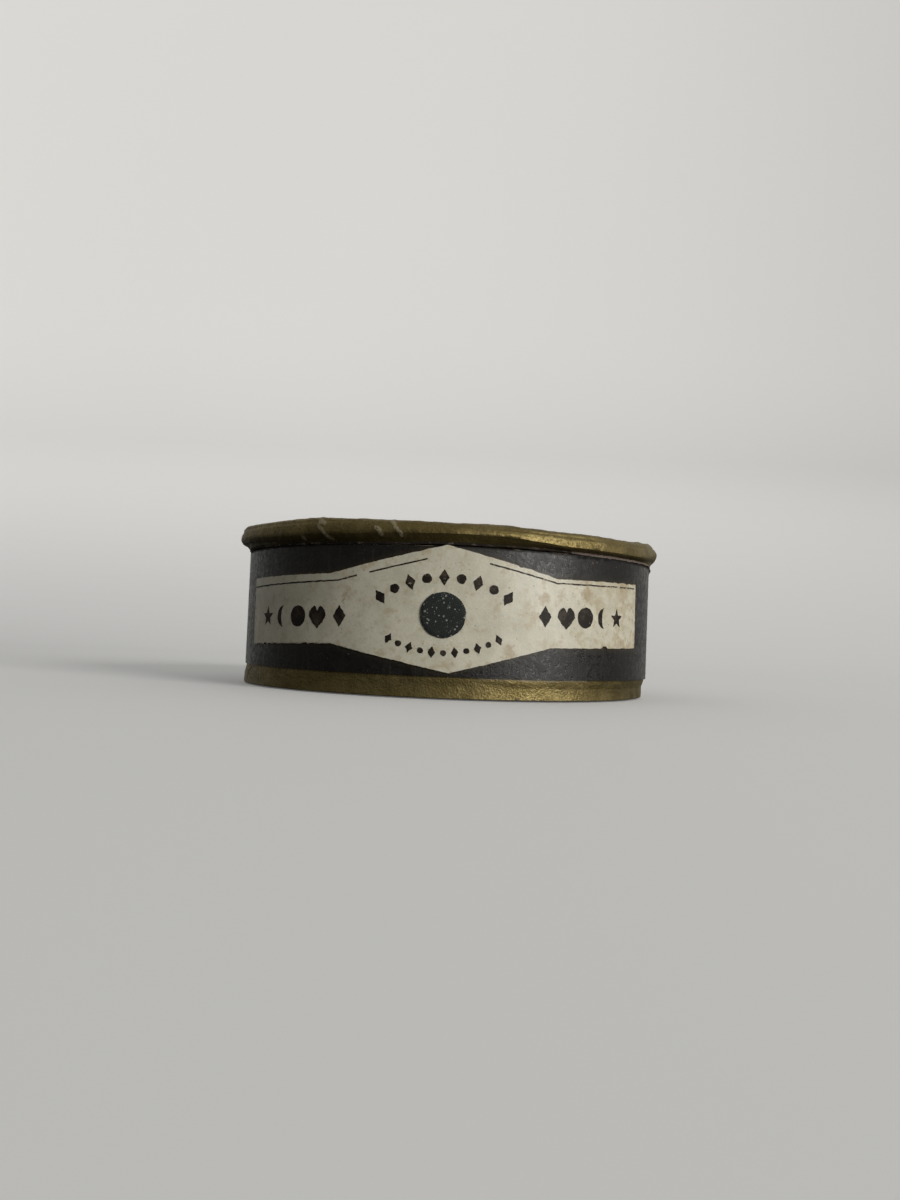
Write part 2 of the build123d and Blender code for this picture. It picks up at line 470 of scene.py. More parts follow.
# Painted shade, with some dirt on the foot: the bead's lower part and the foot's creases and seam
# are darkened.
shade_and_grime_mask = use(tree, rubbing, place, Worn=worn(tree, "shade_and_grime"), Grain=2.5)["Mask"]
colour = mixed(tree, times(tree, shade_and_grime_mask, 0.8), colour, bronze_shade_and_grime)
cracked = use(tree, rubbing, place, Worn=worn(tree, "rub"), Grain=5.0)["Mask"]
coloured(tree, shader, mixed(tree, cracked, colour, bare_under_gilt))
not_metal = maths(tree, "MAXIMUM", cracked, shade_and_grime_mask)
tree.links.new(ramp(tree, not_metal, 0.0, 1.0, 0.9, 0.2), shader.inputs["Metallic"])
tree.links.new(ramp(tree, flecks, 0.3, 0.7, 0.40, 0.62), shader.inputs["Roughness"])
folds = use(tree, long_wrinkles, place, Long=0.7, Across=1.3)["Height"]
sparkle = clouds(tree, place, 6.5, 2, 0.5)
crumples = plus(tree, times(tree, folds, 0.55), times(tree, flecks, 0.45))
raised(tree, shader, plus(tree, crumples, times(tree, sparkle, 0.35)), 0.10, 0.85)

# %% [markdown]
# ### Dark paper
# A glazed paper, nearly black, with a little brown in it. It has upright streaks from the
# paper's making and a fine grain. Its gleam is soft, so the roughness carries most of the look.
# Wear, glue, painted shade and lost glaze are read from values that each piece has painted on it.

# %% Dark paper
black_brown = (0.0042, 0.0034, 0.0026, 1)
brown_black = (0.0135, 0.0112, 0.0085, 1)
grey_streak = (0.032, 0.029, 0.025, 1)
dust = (0.16, 0.15, 0.135, 1)
paper_core = (0.17, 0.125, 0.095, 1)
old_glue = (0.034, 0.026, 0.013, 1)
shade_black = (0.0016, 0.0013, 0.001, 1)
dark, tree, shader, place = material("dark_paper", Specular_IOR_Level=0.42)
streaked = wire(tree, "Mapping", {"Vector": place, "Scale": (1.0, 1.0, 0.12)}).outputs[0]
streaks = clouds(tree, streaked, 2.4, 4, 0.65)
grain = use(tree, paper_grain, place, Fibres=9.0, Blotches=0.5)
colour = mixed(tree, ramp(tree, grain["Tone"], 0.35, 0.65), black_brown, brown_black)
colour = mixed(tree, ramp(tree, streaks, 0.5, 0.72, 0, 0.5), colour, grey_streak)
dusty = use(tree, pale_specks, place, Cells=4.5, Share=0.14, Size=0.3)["Mask"]
colour = mixed(tree, times(tree, dusty, 0.25), colour, dust)
rubbed = use(tree, rubbing, place, Worn=worn(tree, "rub"), Grain=6.0)["Mask"]
colour = mixed(tree, rubbed, colour, paper_core)
colour = mixed(tree, times(tree, worn(tree, "glue"), 0.6), colour, old_glue)
# Painted shade: the wrap's seam under the lid and a patch on its front's right are darkened nearly
# to black, and made rougher.
painted_shade = worn(tree, "shade_and_grime")
coloured(tree, shader, mixed(tree, painted_shade, colour, shade_black))

# %% Dark paper's gleam and grain
mottle = clouds(tree, place, 2.2, 4, 0.6)
glaze = plus(tree, times(tree, streaks, 0.3), times(tree, mottle, 0.7))
gloss = ramp(tree, glaze, 0.38, 0.62, 0.25, 0.46)
dulled = maths(tree, "MAXIMUM", painted_shade, worn(tree, "dull"))
tree.links.new(plus(tree, gloss, times(tree, dulled, 0.5)), shader.inputs["Roughness"])
uneven = plus(tree, grain["Height"], times(tree, mottle, 1.5))
raised(tree, shader, plus(tree, uneven, times(tree, streaks, 0.6)), 0.03, 0.8)

# %% [markdown]
# ### Label paper
# Cream printing paper, aged and a little glossy. It has fibres, brown and greyish blotches and
# a few specks of soot, and its cut edges have browned more than its middle. Each of these is
# one more colour laid over the last, by a mask of its own.

# %% Label paper
cream_dark, cream_pale = (0.57, 0.54, 0.42, 1), (0.765, 0.73, 0.595, 1)
tan_blotch = (0.50, 0.41, 0.25, 1)
grey_blotch = (0.40, 0.40, 0.31, 1)
damp_stain = (0.33, 0.22, 0.10, 1)
brown_speck = (0.16, 0.10, 0.05, 1)
aged_cream = (0.47, 0.39, 0.25, 1)
sooty_speck = (0.20, 0.16, 0.10, 1)
browned_edge = (0.22, 0.165, 0.09, 1)
cream, tree, shader, place = material("label_paper", 0.38)
grain = use(tree, paper_grain, place, Fibres=6.0, Blotches=0.45)
colour = mixed(tree, ramp(tree, grain["Tone"], 0.3, 0.7), cream_dark, cream_pale)
blotches = plus(tree, clouds(tree, place, 1.3, 3, 0.6), times(tree, worn(tree, "age"), 0.22))
colour = mixed(tree, ramp(tree, blotches, 0.56, 0.76, 0, 0.6), colour, tan_blotch)
elsewhere = wire(tree, "Mapping", {"Vector": place, "Location": (0.03, 0.01, 0.02)}).outputs[0]
greyed = clouds(tree, elsewhere, 1.0, 3, 0.6)
colour = mixed(tree, ramp(tree, greyed, 0.54, 0.75, 0, 0.3), colour, grey_blotch)
spots = use(tree, brown_spots, place, Size=0.9, Amount=worn(tree, "age"))
colour = mixed(tree, times(tree, spots["Stain"], 0.6), colour, damp_stain)
colour = mixed(tree, times(tree, spots["Speck"], 0.6), colour, brown_speck)
colour = mixed(tree, ramp(tree, worn(tree, "age"), 0.35, 0.95, 0, 0.35), colour, aged_cream)
sooty = use(tree, pale_specks, place, Cells=2.6, Share=0.4, Size=0.18)["Mask"]
colour = mixed(tree, times(tree, sooty, 0.5), colour, sooty_speck)
edges = use(tree, rubbing, place, Worn=worn(tree, "rub"), Grain=4.0)["Mask"]
coloured(tree, shader, mixed(tree, times(tree, edges, 0.7), colour, browned_edge))
raised(tree, shader, plus(tree, grain["Height"], clouds(tree, place, 1.5, 2)), 0.02, 0.6)

# %% [markdown]
# ### Printing ink
# Brown-black ink, thin enough that the paper shows where it has worn. The worn places take the
# paper's colour in the ink's own material, which needs no transparency.

# %% Printing ink
full_ink = (0.013, 0.009, 0.006, 1)
thin_ink = (0.075, 0.056, 0.038, 1)
paper_in_ink = (0.60, 0.55, 0.42, 1)
ink, tree, shader, place = material("printing_ink", 0.55, Specular_IOR_Level=0.25)
grain = use(tree, paper_grain, place, Fibres=8.0, Blotches=1.1)
colour = mixed(tree, ramp(tree, grain["Tone"], 0.47, 0.66), full_ink, thin_ink)
gone = use(tree, rubbing, place, Worn=worn(tree, "rub"), Grain=3.0)["Mask"]
coloured(tree, shader, mixed(tree, gone, colour, paper_in_ink))
raised(tree, shader, grain["Height"], 0.01, 0.4)

# %% [markdown]
# ### Torn paper
# Where a paper is torn, its raw core shows: matt, fibrous and a pinkish tan. It goes on the
# lid's torn lower edge and on the crumbs of paper that cling to the wall.

# %% Torn paper
shaded_fibre = (0.085, 0.066, 0.054, 1)
pale_fibre = (0.23, 0.185, 0.155, 1)
fibre_painted_shade = (0.018, 0.014, 0.011, 1)
raw, tree, shader, place = material("torn_paper", 0.9, Specular_IOR_Level=0.2)
fibres = clouds(tree, place, 8.0, 3, 0.6)
colour = mixed(tree, ramp(tree, fibres, 0.35, 0.65), shaded_fibre, pale_fibre)
# Painted shade: the torn edge is darkened all round, less so towards the right.
fibre_shade = use(tree, rubbing, place, Worn=worn(tree, "shade_and_grime"), Grain=2.0)["Mask"]
coloured(tree, shader, mixed(tree, fibre_shade, colour, fibre_painted_shade))
raised(tree, shader, fibres, 0.05, 0.8)

# %% [markdown]
# ### Patch cloth
# Black gummed taffeta: a close weave, matt, with a trace of green. The sample on the label is
# covered in pale specks of dust and starch, and the patches that lay in the box have few.

# %% Patch cloth
thread_low, thread_high = (0.0045, 0.006, 0.0055, 1), (0.017, 0.022, 0.020, 1)
cloth_fuzz = (0.045, 0.052, 0.046, 1)
starch = (0.30, 0.31, 0.27, 1)
cloth_dust = (0.24, 0.25, 0.22, 1)


def patch_cloth(name, lean, coarse_share, fine_share):
    """The cloth's weave runs in a patch's own plane, so it leans as the patch does."""
    cloth, tree, shader, place = material(name, 0.82)
    turned = wire(tree, "Mapping", {"Vector": place, "Rotation": (lean, 0, 0.2)}).outputs[0]
    threads = use(tree, weave, turned, Threads=7.0)["Height"]
    fuzz = clouds(tree, place, 3.0, 4, 0.6)
    colour = mixed(tree, threads, thread_low, thread_high)
    colour = mixed(tree, ramp(tree, fuzz, 0.5, 0.8, 0, 0.5), colour, cloth_fuzz)
    coarse = use(tree, pale_specks, turned, Cells=3.6, Share=coarse_share, Size=0.34)["Mask"]
    colour = mixed(tree, times(tree, coarse, 0.85), colour, starch)
    fine = use(tree, pale_specks, place, Cells=7.3, Share=fine_share, Size=0.36)["Mask"]
    coloured(tree, shader, mixed(tree, times(tree, fine, 0.5), colour, cloth_dust))
    raised(tree, shader, plus(tree, threads, fuzz), 0.03, 0.8)
    return cloth


sample_cloth = patch_cloth("patch_cloth_upright", -math.pi / 2, 0.9, 0.5)
loose_cloth = patch_cloth("patch_cloth", 0, 0.05, 0.04)

# %% [markdown]
# ### Board and lining
# The boards are grey-brown pulp board, seen only at the wall's top and inside the lid. The
# lining is a thin off-white paper that has yellowed.

# %% Board
board_dark, board_pale = (0.27, 0.21, 0.14, 1), (0.46, 0.38, 0.27, 1)
board, tree, shader, place = material("pulp_board", 0.85)
grain = use(tree, paper_grain, place, Fibres=5.0, Blotches=0.8)
coloured(tree, shader, mixed(tree, ramp(tree, grain["Tone"], 0.3, 0.7), board_dark, board_pale))
raised(tree, shader, grain["Height"], 0.05, 0.9)

# %% Lining paper
lining_dark, lining_pale = (0.62, 0.57, 0.46, 1), (0.74, 0.70, 0.60, 1)
lining_stain = (0.50, 0.40, 0.26, 1)
lining_speck = (0.36, 0.26, 0.15, 1)
lining, tree, shader, place = material("lining_paper", 0.7)
grain = use(tree, paper_grain, place, Fibres=6.0, Blotches=0.35)
colour = mixed(tree, ramp(tree, grain["Tone"], 0.3, 0.7), lining_dark, lining_pale)
spots = use(tree, brown_spots, place, Size=0.7, Amount=0.6)
colour = mixed(tree, times(tree, spots["Stain"], 0.5), colour, lining_stain)
coloured(tree, shader, mixed(tree, times(tree, spots["Speck"], 0.35), colour, lining_speck))
raised(tree, shader, grain["Height"], 0.02, 0.6)

# %% [markdown]
# ### Backdrop paper
# The sheet under and behind the box. The room is dim, so the sheet glows a little by itself to
# look pale, and more where it stands upright. Its colour is painted darker towards the left, as
# shade away from the window.

# %% Backdrop paper
sheet_flat, sheet_upright = (0.82, 0.82, 0.82, 1), (0.84, 0.835, 0.82, 1)
glow_flat, glow_upright = (0.08, 0.08, 0.08, 1), (0.22, 0.215, 0.21, 1)
sheet_shade = (0.30, 0.31, 0.33, 1)
pale, tree, shader, place = material("backdrop_paper", 0.8, Emission_Strength=1.0)
parts = wire(tree, "SeparateXYZ", {0: place}).outputs
upright = ramp(tree, parts["Z"], 0.0, 0.09)
rightward = plus(tree, parts["X"], times(tree, clouds(tree, place, 0.012, 2), 0.05))
shaded = ramp(tree, rightward, -0.10, 0.09, 0.22, 0.0)
sheet = mixed(tree, upright, sheet_flat, sheet_upright)
coloured(tree, shader, mixed(tree, shaded, sheet, sheet_shade))
tree.links.new(mixed(tree, upright, glow_flat, glow_upright), shader.inputs["Emission Color"])


# %% Helper for giving a piece its finish
def finish(piece, coat):
    """Gives a piece its material in all its slots."""
    if not piece.material_slots:
        piece.data.materials.append(coat)
    for slot in piece.material_slots:
        slot.material = coat


finish(floor, pale)
print("materials:", len(bpy.data.materials))

# %% [markdown]
# ## Helpers for old paper
# Old paper is never quite flat, straight or clean. Where it waves or bulges, a rule says how far
# each point moves, and the rule is carried into vertex weights for a Displace modifier. Small
# hollows come from a cloud texture in the same modifier. Wear and dirt are painted on the
# vertices as values from 0 to 1, which the materials read.

# %% Helpers for uneven forms
def apply(piece, kind, **settings):
    """A modifier that is applied at once."""
    take(piece)
    change = piece.modifiers.new(kind.lower(), kind)
    for name, value in settings.items():
        setattr(change, name, value)
    bpy.ops.object.modifier_apply(modifier=change.name)


def nudge(piece, direction, amount):
    """Moves each vertex by amount(place) millimetres, through weights and Displace."""
    moves = [amount(vertex.co / MM) for vertex in piece.data.vertices]
    for sign in (1, -1):
        reach = max(sign * step for step in moves)
        if reach > 1e-5:
            group = piece.vertex_groups.new(name="nudge")
            for index, step in enumerate(moves):
                if sign * step > 0:
                    group.add([index], sign * step / reach, "REPLACE")
            apply(piece, "DISPLACE", direction=direction, mid_level=0,
                  strength=sign * reach * MM, vertex_group="nudge")
            piece.vertex_groups.remove(piece.vertex_groups["nudge"])


def crumple(piece, depth, grain, amount):
    """Uneven hollows of a depth and a width in millimetres, weighted by amount(place)."""
    texture = bpy.data.textures.new("crumple", "CLOUDS")
    texture.noise_scale = grain * MM
    texture.noise_depth = 2
    group = piece.vertex_groups.new(name="crumpled")
    for vertex in piece.data.vertices:
        group.add([vertex.index], amount(vertex.co / MM), "REPLACE")
    apply(piece, "DISPLACE", texture=texture, texture_coords="LOCAL",
          strength=depth * MM, vertex_group="crumpled")
    piece.vertex_groups.clear()


def between(value, low, high):
    """0 below low, 1 above high, and smooth between them."""
    part = min(max((value - low) / (high - low), 0.0), 1.0)
    return part * part * (3 - 2 * part)


def ring_face(widths):
    """In edit mode, insets a flat face by each of these widths in millimetres in turn."""
    bpy.ops.mesh.select_mode(type="FACE")
    pick_all()
    for width in widths:
        bpy.ops.mesh.inset(thickness=width * MM)


def waver(x, y, z):
    """Smooth noise at a place, the same in every run."""
    return noise.noise(Vector((x, y, z)))


def along_table(table, angle):
    """A value read between the rows of a table of angles."""
    for (a, first), (b, second) in zip(table, table[1:]):
        if a <= angle <= b:
            return first + (second - first) * between(angle, a, b)
    return table[-1][1]


# %% Helpers for wear and for ending a piece
def paint(piece, attribute, amount):
    """Paints a value from 0 to 1 on every vertex."""
    layer = piece.data.attributes.new(attribute, "FLOAT", "POINT")
    for vertex, item in zip(piece.data.vertices, layer.data):
        item.value = min(max(amount(vertex.co / MM), 0.0), 1.0)


def dress(piece, coat, slot, body, *nodes):
    """Ends a piece: smooth faces, its finish, the body it rides on and what it stands for."""
    take(piece)
    bpy.ops.object.shade_smooth_by_angle(angle=math.radians(40))
    finish(piece, coat)
    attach(piece, body)
    if nodes:
        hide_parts(*nodes)
    print(piece.name, "faces:", len(piece.data.polygons))


# %% [markdown]
# ## Lid's bead
# A ring of board with gilt paper pasted round it. The paper starts under the ring, goes round
# its outside and over its top, and ends on the lid's board. It could be a torus, but this one
# is flat inside and on top, so a section is drawn and spun round the axis.

# %% Helpers for sections that are spun
def section(name, low, high):
    """An upright rectangle between two corners (x, z), as the start of a section."""
    size = (high[0] - low[0], high[1] - low[1], 1)
    middle = ((low[0] + high[0]) / 2, 0, (low[1] + high[1]) / 2)
    return primitive(
        bpy.ops.mesh.primitive_plane_add, name, size, middle, (math.pi / 2, 0, 0), size=1)


def lengthen(x, z):
    """In edit mode, draws the section's picked end on by x and z."""
    bpy.ops.mesh.extrude_vertices_move(TRANSFORM_OT_translate={"value": (x * MM, 0, z * MM)})


def spin_section(piece, steps, centre=0.0):
    """Spins a section round the upright axis through (centre, 0) and closes the seam."""
    pick_all()
    bpy.ops.mesh.spin(steps=steps, angle=math.tau, center=(centre * MM, 0, 0), axis=(0, 0, 1))
    pick_all()
    bpy.ops.mesh.remove_doubles(threshold=1e-6)
    bpy.ops.mesh.normals_make_consistent(inside=False)
    edit(False)


# %% Bead's section
lid_low, lid_high = (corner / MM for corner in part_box("lid_gilt_edging"))
lid_radius, bead_bottom, bead_top = lid_high.x, lid_low.z, lid_high.z
lid_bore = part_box("lid_board")[1].x / MM
lid_board_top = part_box("lid_board")[1].z / MM
gilt_paper = 0.12
gilt_turned_in = 1.0
bead_round = 0.85
bead_middle = (bead_bottom + bead_top) / 2
bead = section("lid_gilt_bead", (lid_bore, bead_bottom), (lid_radius, bead_top))
edit()
pick(bead, lambda p: p.x > (lid_bore + lid_radius) / 2)
bpy.ops.mesh.bevel(offset=bead_round * MM, segments=16, affect="VERTICES")
pick_all()
bpy.ops.mesh.delete(type="ONLY_FACE")
pick(bead, lambda p: p.x < lid_bore + 0.1)
bpy.ops.mesh.delete(type="EDGE")
pick(bead, lambda p: p.x < lid_bore + 0.1 and p.z > bead_middle)
move(x=-gilt_paper)
lengthen(0, lid_board_top - bead_top)
lengthen(-gilt_turned_in, 0)
on_board = lid_bore - gilt_paper
for cuts, test in (
    (3, lambda p: p.z < bead_bottom + 0.01),
    (5, lambda p: p.z > bead_top - 0.01),
    (3, lambda p: p.x < on_board + 0.01 and p.z < lid_board_top + 0.01),
    (1, lambda p: abs(p.x - on_board) < 0.01),
):
    pick(bead, test, "EDGE")
    bpy.ops.mesh.subdivide(number_cuts=cuts)
spin_section(bead, 720)
print("bead's corners:", [round(c / MM, 2) for c in bead.dimensions])

# %% [markdown]
# The bead isn't a true round. Its paper was pressed in below, which leaves a crisp ridge along
# its front, and it has a long crease on its shoulder. Its top rides high on the left and at the
# right end, and its lower lip rises at both ends, where it doesn't quite meet the wall. Each of
# these is a rule for how far a point moves. The tables were read from the photograph, and say
# how far at which angle round the box. Three cloud textures add the crumples.

# %% Bead's profile
def round_part(place, drop, inset=0.0):
    """How far round the bead's corner a place is, in degrees from level, or nothing off it."""
    part = (drop - inset) / (bead_round - inset)
    if 0 < part < 1 and radius_of(place) > lid_radius - bead_round:
        return math.degrees(math.acos(1 - part))
    return None


def inside_round(turn):
    """How far a flat slope lies inside the quarter round, as a share of its radius."""
    return 1 - math.cos(math.radians(45)) / math.cos(math.radians(turn - 45))


pressed_flat = 0.8
less_at_ends = 0.4


def undercut(place, inset=0.0):
    """Draws the lower round in towards a flat slope, less so at the bead's two ends."""
    turn = round_part(place, place.z - bead_bottom, inset)
    if turn is None:
        return 0.0
    to_the_side = abs(angle_of(place))
    at_end = between(to_the_side, 55, 75) * between(to_the_side, 125, 105)
    return -(pressed_flat - less_at_ends * at_end) * bead_round * inside_round(turn)


most_inside = 0.29
crease_turn = 52
crease_depth = 0.05
shoulders = [
    (-180, 0.02), (-110, 0.06), (-92, 0.18), (-72, 0.17), (-58, 0.0), (-5, 0.0), (11, -0.10),
    (24, -0.03), (33, 0.0), (46, -0.02), (62, -0.1), (75, -0.2), (95, -0.2), (115, 0.0), (180, 0.02)]


def shoulder(place):
    """Fills the upper round out towards a square, or presses it flat, and creases it a little."""
    turn = round_part(place, bead_top - place.z)
    if turn is None:
        return 0.0
    fullness = along_table(shoulders, angle_of(place))
    if fullness > 0:
        form = fullness * between(turn, 5, 30) * between(turn, 62, 36)
    else:
        form = fullness * inside_round(turn) / most_inside
    wander = 5 * waver(place.x * 0.15, place.y * 0.15, 1.3)
    depth = crease_depth * between(waver(place.x * 0.12, place.y * 0.12, 5.0), -0.4, 0.1)
    return form - depth * between(abs(turn - crease_turn - wander), 10, 2)


nudge(bead, "NORMAL", lambda p: undercut(p) + shoulder(p))

# %% Bead's waves
top_waves = [
    (-180, 0.02), (-120, 0.14), (-80, 0.42), (-60, 0.40), (-42, 0.38), (-34, 0.40), (-25, 0.28),
    (-12, 0.14), (0, 0.02), (11, 0.08), (24, -0.08), (41, -0.10), (53, -0.06), (64, 0.22),
    (78, 0.58), (92, 0.55), (120, 0.04), (180, 0.02)]
lip_waves = [
    (-180, 0.02), (-120, 0.2), (-90, 0.6), (-75, 0.5), (-60, 0.25), (-45, 0.1), (-27, 0.03),
    (-8, 0.12), (0, 0.2), (9, 0.12), (22, 0.1), (29, 0.06), (47, 0.03), (61, 0.12), (75, 0.4),
    (90, 0.4), (120, 0.1), (180, 0.02)]
ridge_waves = [
    (-180, -0.1), (-90, -0.1), (-70, -0.1), (-45, -0.22), (-25, -0.1), (0, 0.0), (13, 0.0),
    (22, -0.2), (29, -0.33), (41, -0.34), (60, -0.40), (74, -0.05), (120, -0.1), (180, -0.1)]


def lid_gap(angle):
    """The lid doesn't quite sit down at the front's middle and right, nor at its left end."""
    front = 0.1 * between(angle, -12, -4) - 0.06 * between(angle, 24, 34) * between(angle, 64, 54)
    left_end = 0.18 * between(angle, -50, -68) * between(angle, -112, -90)
    return front * between(angle, 88, 76) + left_end


def bead_lift(place):
    """How far the bead's top, its lower lip and the ridge between them ride up."""
    radius, angle = radius_of(place), angle_of(place)
    height = between(place.z, bead_bottom + 0.2, bead_top - 0.2)
    top = along_table(top_waves, angle) * between(radius, 18.9, 19.6) * height
    gap = lid_gap(angle) * between(radius, 18.95, 19.2)
    lip = gap + (along_table(lip_waves, angle) - gap) * between(radius, 19.97, 20.27)
    over_lip = between(place.z, bead_bottom + 0.1, bead_bottom + 0.75)
    under_top = between(place.z, bead_top - 0.2, bead_top - 0.8)
    ridge = along_table(ridge_waves, angle) * over_lip * under_top * between(radius, 19.9, 20.2)
    return top + lip * (1 - height) + ridge


def bead_bulge(place):
    """The bead stands out a little further at its left end."""
    return -0.26 * between(angle_of(place), -48, -85) * between(radius_of(place), 20.0, 20.5)


def outer_paper(place):
    """The paper that is free to crumple, away from the wall and the lid's board."""
    radius = radius_of(place)
    clear = max(between(radius, 20.05, 20.3), between(place.z, 13.3, 13.8))
    return between(radius, 19.0, 19.5) * clear


nudge(bead, "Z", bead_lift)
nudge(bead, "X", bead_bulge)
for depth, grain in ((0.16, 2.6), (0.06, 0.8), (0.02, 0.35)):
    crumple(bead, depth, grain, outer_paper)
print("bead's top at", round(max(v.co.z for v in bead.data.vertices) / MM, 2), "mm")

# %% Bead's cracks and finish
crack_width = 0.34
crack_swell = 0.05
crack_wear = 0.64
bead_cracks = [
    ((-33.1, 14.8), (-32.3, 14.4), (-32.9, 14.1), (-31.8, 13.8), (-30.9, 13.5)),
    ((-31.9, 14.55), (-30.9, 14.3)),
    ((-30.5, 13.25), (-29.4, 12.95)),
    ((-38.0, 13.2), (-37.6, 13.0)),
    ((-17.2, 13.95), (-16.2, 13.65), (-16.0, 13.35)),
    ((-13.6, 14.45), (-12.8, 14.15)),
    ((-12.5, 13.9), (-11.7, 13.65), (-11.2, 13.35)),
    ((118.0, 14.2), (121.0, 13.6), (120.0, 13.1)),
    ((-150.0, 14.3), (-148.0, 13.7), (-145.5, 13.9)),
]


def near_lines(lines, radius, width):
    """1 on lines of (angle, height) points on a round wall, and 0 beyond their width."""
    far = 9.0
    line_reach = 12

    def amount(place):
        along, up = angle_of(place), place.z
        nearest = far
        for line in lines:
            if abs(along - line[0][0]) < line_reach:
                for (a, b), (c, d) in zip(line, line[1:]):
                    run = Vector((math.radians(c - a) * radius, d - b))
                    here = Vector((math.radians(along - a) * radius, up - b))
                    part = min(max(here.dot(run) / run.length_squared, 0), 1)
                    nearest = min(nearest, (here - run * part).length)
        return between(nearest, width, width * 0.3)
    return amount


on_cracks = near_lines(bead_cracks, lid_radius, crack_width)


def bead_wear(place):
    """Worn through on the cracks, and a little all round where the bead stands out most."""
    outward = between(radius_of(place), 20.2, 20.7)
    return max(crack_wear * on_cracks(place) if outward > 0.05 else 0.0, 0.1 * outward)


nudge(bead, "NORMAL", lambda p: crack_swell * on_cracks(p) if radius_of(p) > 19.6 else 0.0)
paint(bead, "rub", bead_wear)
# Painted shade: the bead's lower part is darkened, most at the bottom.
paint(bead, "shade_and_grime", lambda p: 0.45 * between(p.z, bead_bottom + 0.75, bead_bottom + 0.3))
apply(bead, "SOLIDIFY", thickness=gilt_paper * MM, offset=-1)
dress(bead, gilt, "gilt_paper", "lid", "lid_gilt_edging")

# %% [markdown]
# ## Ring inside the bead
# The board ring that the gilt paper goes round is pressed in below as the paper is. It can't be
# seen while the bead is whole, so it is made in the same way with fewer steps.

# %% Ring inside the bead
ring_inset = 0.34
ring_ease = 0.02
ring = section(
    "lid_rim_board", (lid_bore + ring_ease, bead_bottom + ring_inset),
    (lid_radius - ring_inset, bead_top - ring_inset))
edit()
pick(ring, lambda p: p.x > (lid_bore + lid_radius) / 2)
bpy.ops.mesh.bevel(offset=(bead_round - ring_inset) * MM, segments=6, affect="VERTICES")
pick_all()
bpy.ops.mesh.delete(type="ONLY_FACE")
spin_section(ring, 180)
nudge(ring, "NORMAL", lambda p: undercut(p, ring_inset))
nudge(ring, "Z", bead_lift)
nudge(ring, "X", bead_bulge)
dress(ring, board, "board", "lid", "lid_rim_ring")

# %% [markdown]
# ## Dark paper round the wall
# On the real box this is a straight strip, cut longer than the way round and pasted down with
# its end over its start. It is made in the same way: a flat grid with a torn top edge and one
# raised end, bent round by a Simple Deform modifier. A spun tube would have no lap.

# %% Helper for bent sheets
wall_radius = -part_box("wall_wrap_paper")[0].x / MM


def bend_round(piece):
    """Bends a flat piece round the wall, so that what was at y = 0 lies on the wall's face."""
    along = [vertex.co.x for vertex in piece.data.vertices]
    bend = (max(along) - min(along)) / (wall_radius * MM)
    apply(piece, "SIMPLE_DEFORM", deform_method="BEND", deform_axis="Z", angle=bend)
    edit()
    pick_all()
    move(y=-wall_radius)
    edit(False)


def angle_along(place):
    """The angle round the box that a place on a flat strip comes to when it is bent."""
    return math.degrees(place.x / wall_radius)


# %% Strip of dark paper
wrap_low, wrap_high = (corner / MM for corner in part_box("wall_wrap_paper"))
wrap_paper = 0.15
wrap_lap = 3.0
under_lid = 0.02
wrap_length = math.tau * wall_radius + wrap_lap
wrap_high.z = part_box("wall_tube")[1].z / MM - under_lid
wrap_tall = wrap_high.z - wrap_low.z
wrap = primitive(
    bpy.ops.mesh.primitive_grid_add, "wall_dark_paper", (wrap_length, wrap_tall, 1),
    (0, 0, (wrap_low.z + wrap_high.z) / 2), (math.pi / 2, 0, 0),
    x_subdivisions=660, y_subdivisions=52, size=1)
print("flat strip:", round(wrap_length, 1), "by", round(wrap_tall, 1), "mm")


# %% Strip's edges
def wrap_top_edge(place):
    """The top edge is cut cleanly on the left, and a little torn under the bead on the right."""
    angle = angle_along(place)
    torn_share = between(angle, 2, 20) * between(angle, 66, 58)
    rough = waver(place.x * 0.8, 3.1, 0) + 0.6 * waver(place.x * 3.1, 9.7, 0)
    depth = 0.01 + 0.02 * rough + torn_share * (0.02 + 0.04 * rough)
    proud = 0.04 * between(angle, -6, 2) * between(angle, 80, 74)
    return (proud - max(depth, 0.0)) * between(place.z, wrap_high.z - 1.4, wrap_high.z)


def frayed_bit(place):
    """A shred of the paper stands off the wall at the far right."""
    along, up = math.radians(78) * wall_radius, wrap_high.z - 0.12
    return -0.16 * between(math.hypot(place.x - along, place.z - up), 0.4, 0.1)


nudge(wrap, "Y", frayed_bit)
nudge(wrap, "Z", wrap_top_edge)
lap_start = wrap_length / 2 - wrap_lap
lap_rise = wrap_paper + 0.005
nudge(wrap, "Y", lambda p: -lap_rise * between(p.x, lap_start - 1.2, lap_start - 0.1))


# %% Strip's wear and painted shade
def wrap_wear(place):
    """Pale core along the foot, at the top and at the lap's end, and a painted highlight at front
    right.
    """
    angle = angle_along(place)
    top = between(place.z, wrap_high.z - 0.14, wrap_high.z - 0.02) * 0.2
    # Painted highlight: the foot's edge is paler at the front's right.
    front_highlight = 0.2 * between(angle, 5, 20) * between(angle, 45, 28)
    foot = between(place.z, wrap_low.z + 0.22, wrap_low.z) * (0.25 + front_highlight)
    end = 0.42 * between(place.x, wrap_length / 2 - 0.3, wrap_length / 2)
    return max(top, foot, end)


def wrap_painted_shade(place):
    """Painted shade in the jagged seam under the lid, widest where torn, and on the front's right.
    """
    angle = angle_along(place)
    jagged = 0.5 + waver(place.x * 1.9, 6.0, 0) + 0.5 * waver(place.x * 6.0, 2.0, 0)
    deep = 0.1 + 0.25 * between(angle, 30, 35) * between(angle, 47, 43) * max(jagged, 0.0)
    edge = wrap_high.z + wrap_top_edge(Vector((place.x, 0, wrap_high.z)))
    dull = 0.22 * between(angle, 29, 33) * between(angle, 62, 50) * between(place.z, 9.0, 10.5)
    return max(between(place.z, edge - deep - 0.08, edge - deep), dull)


paint(wrap, "rub", wrap_wear)
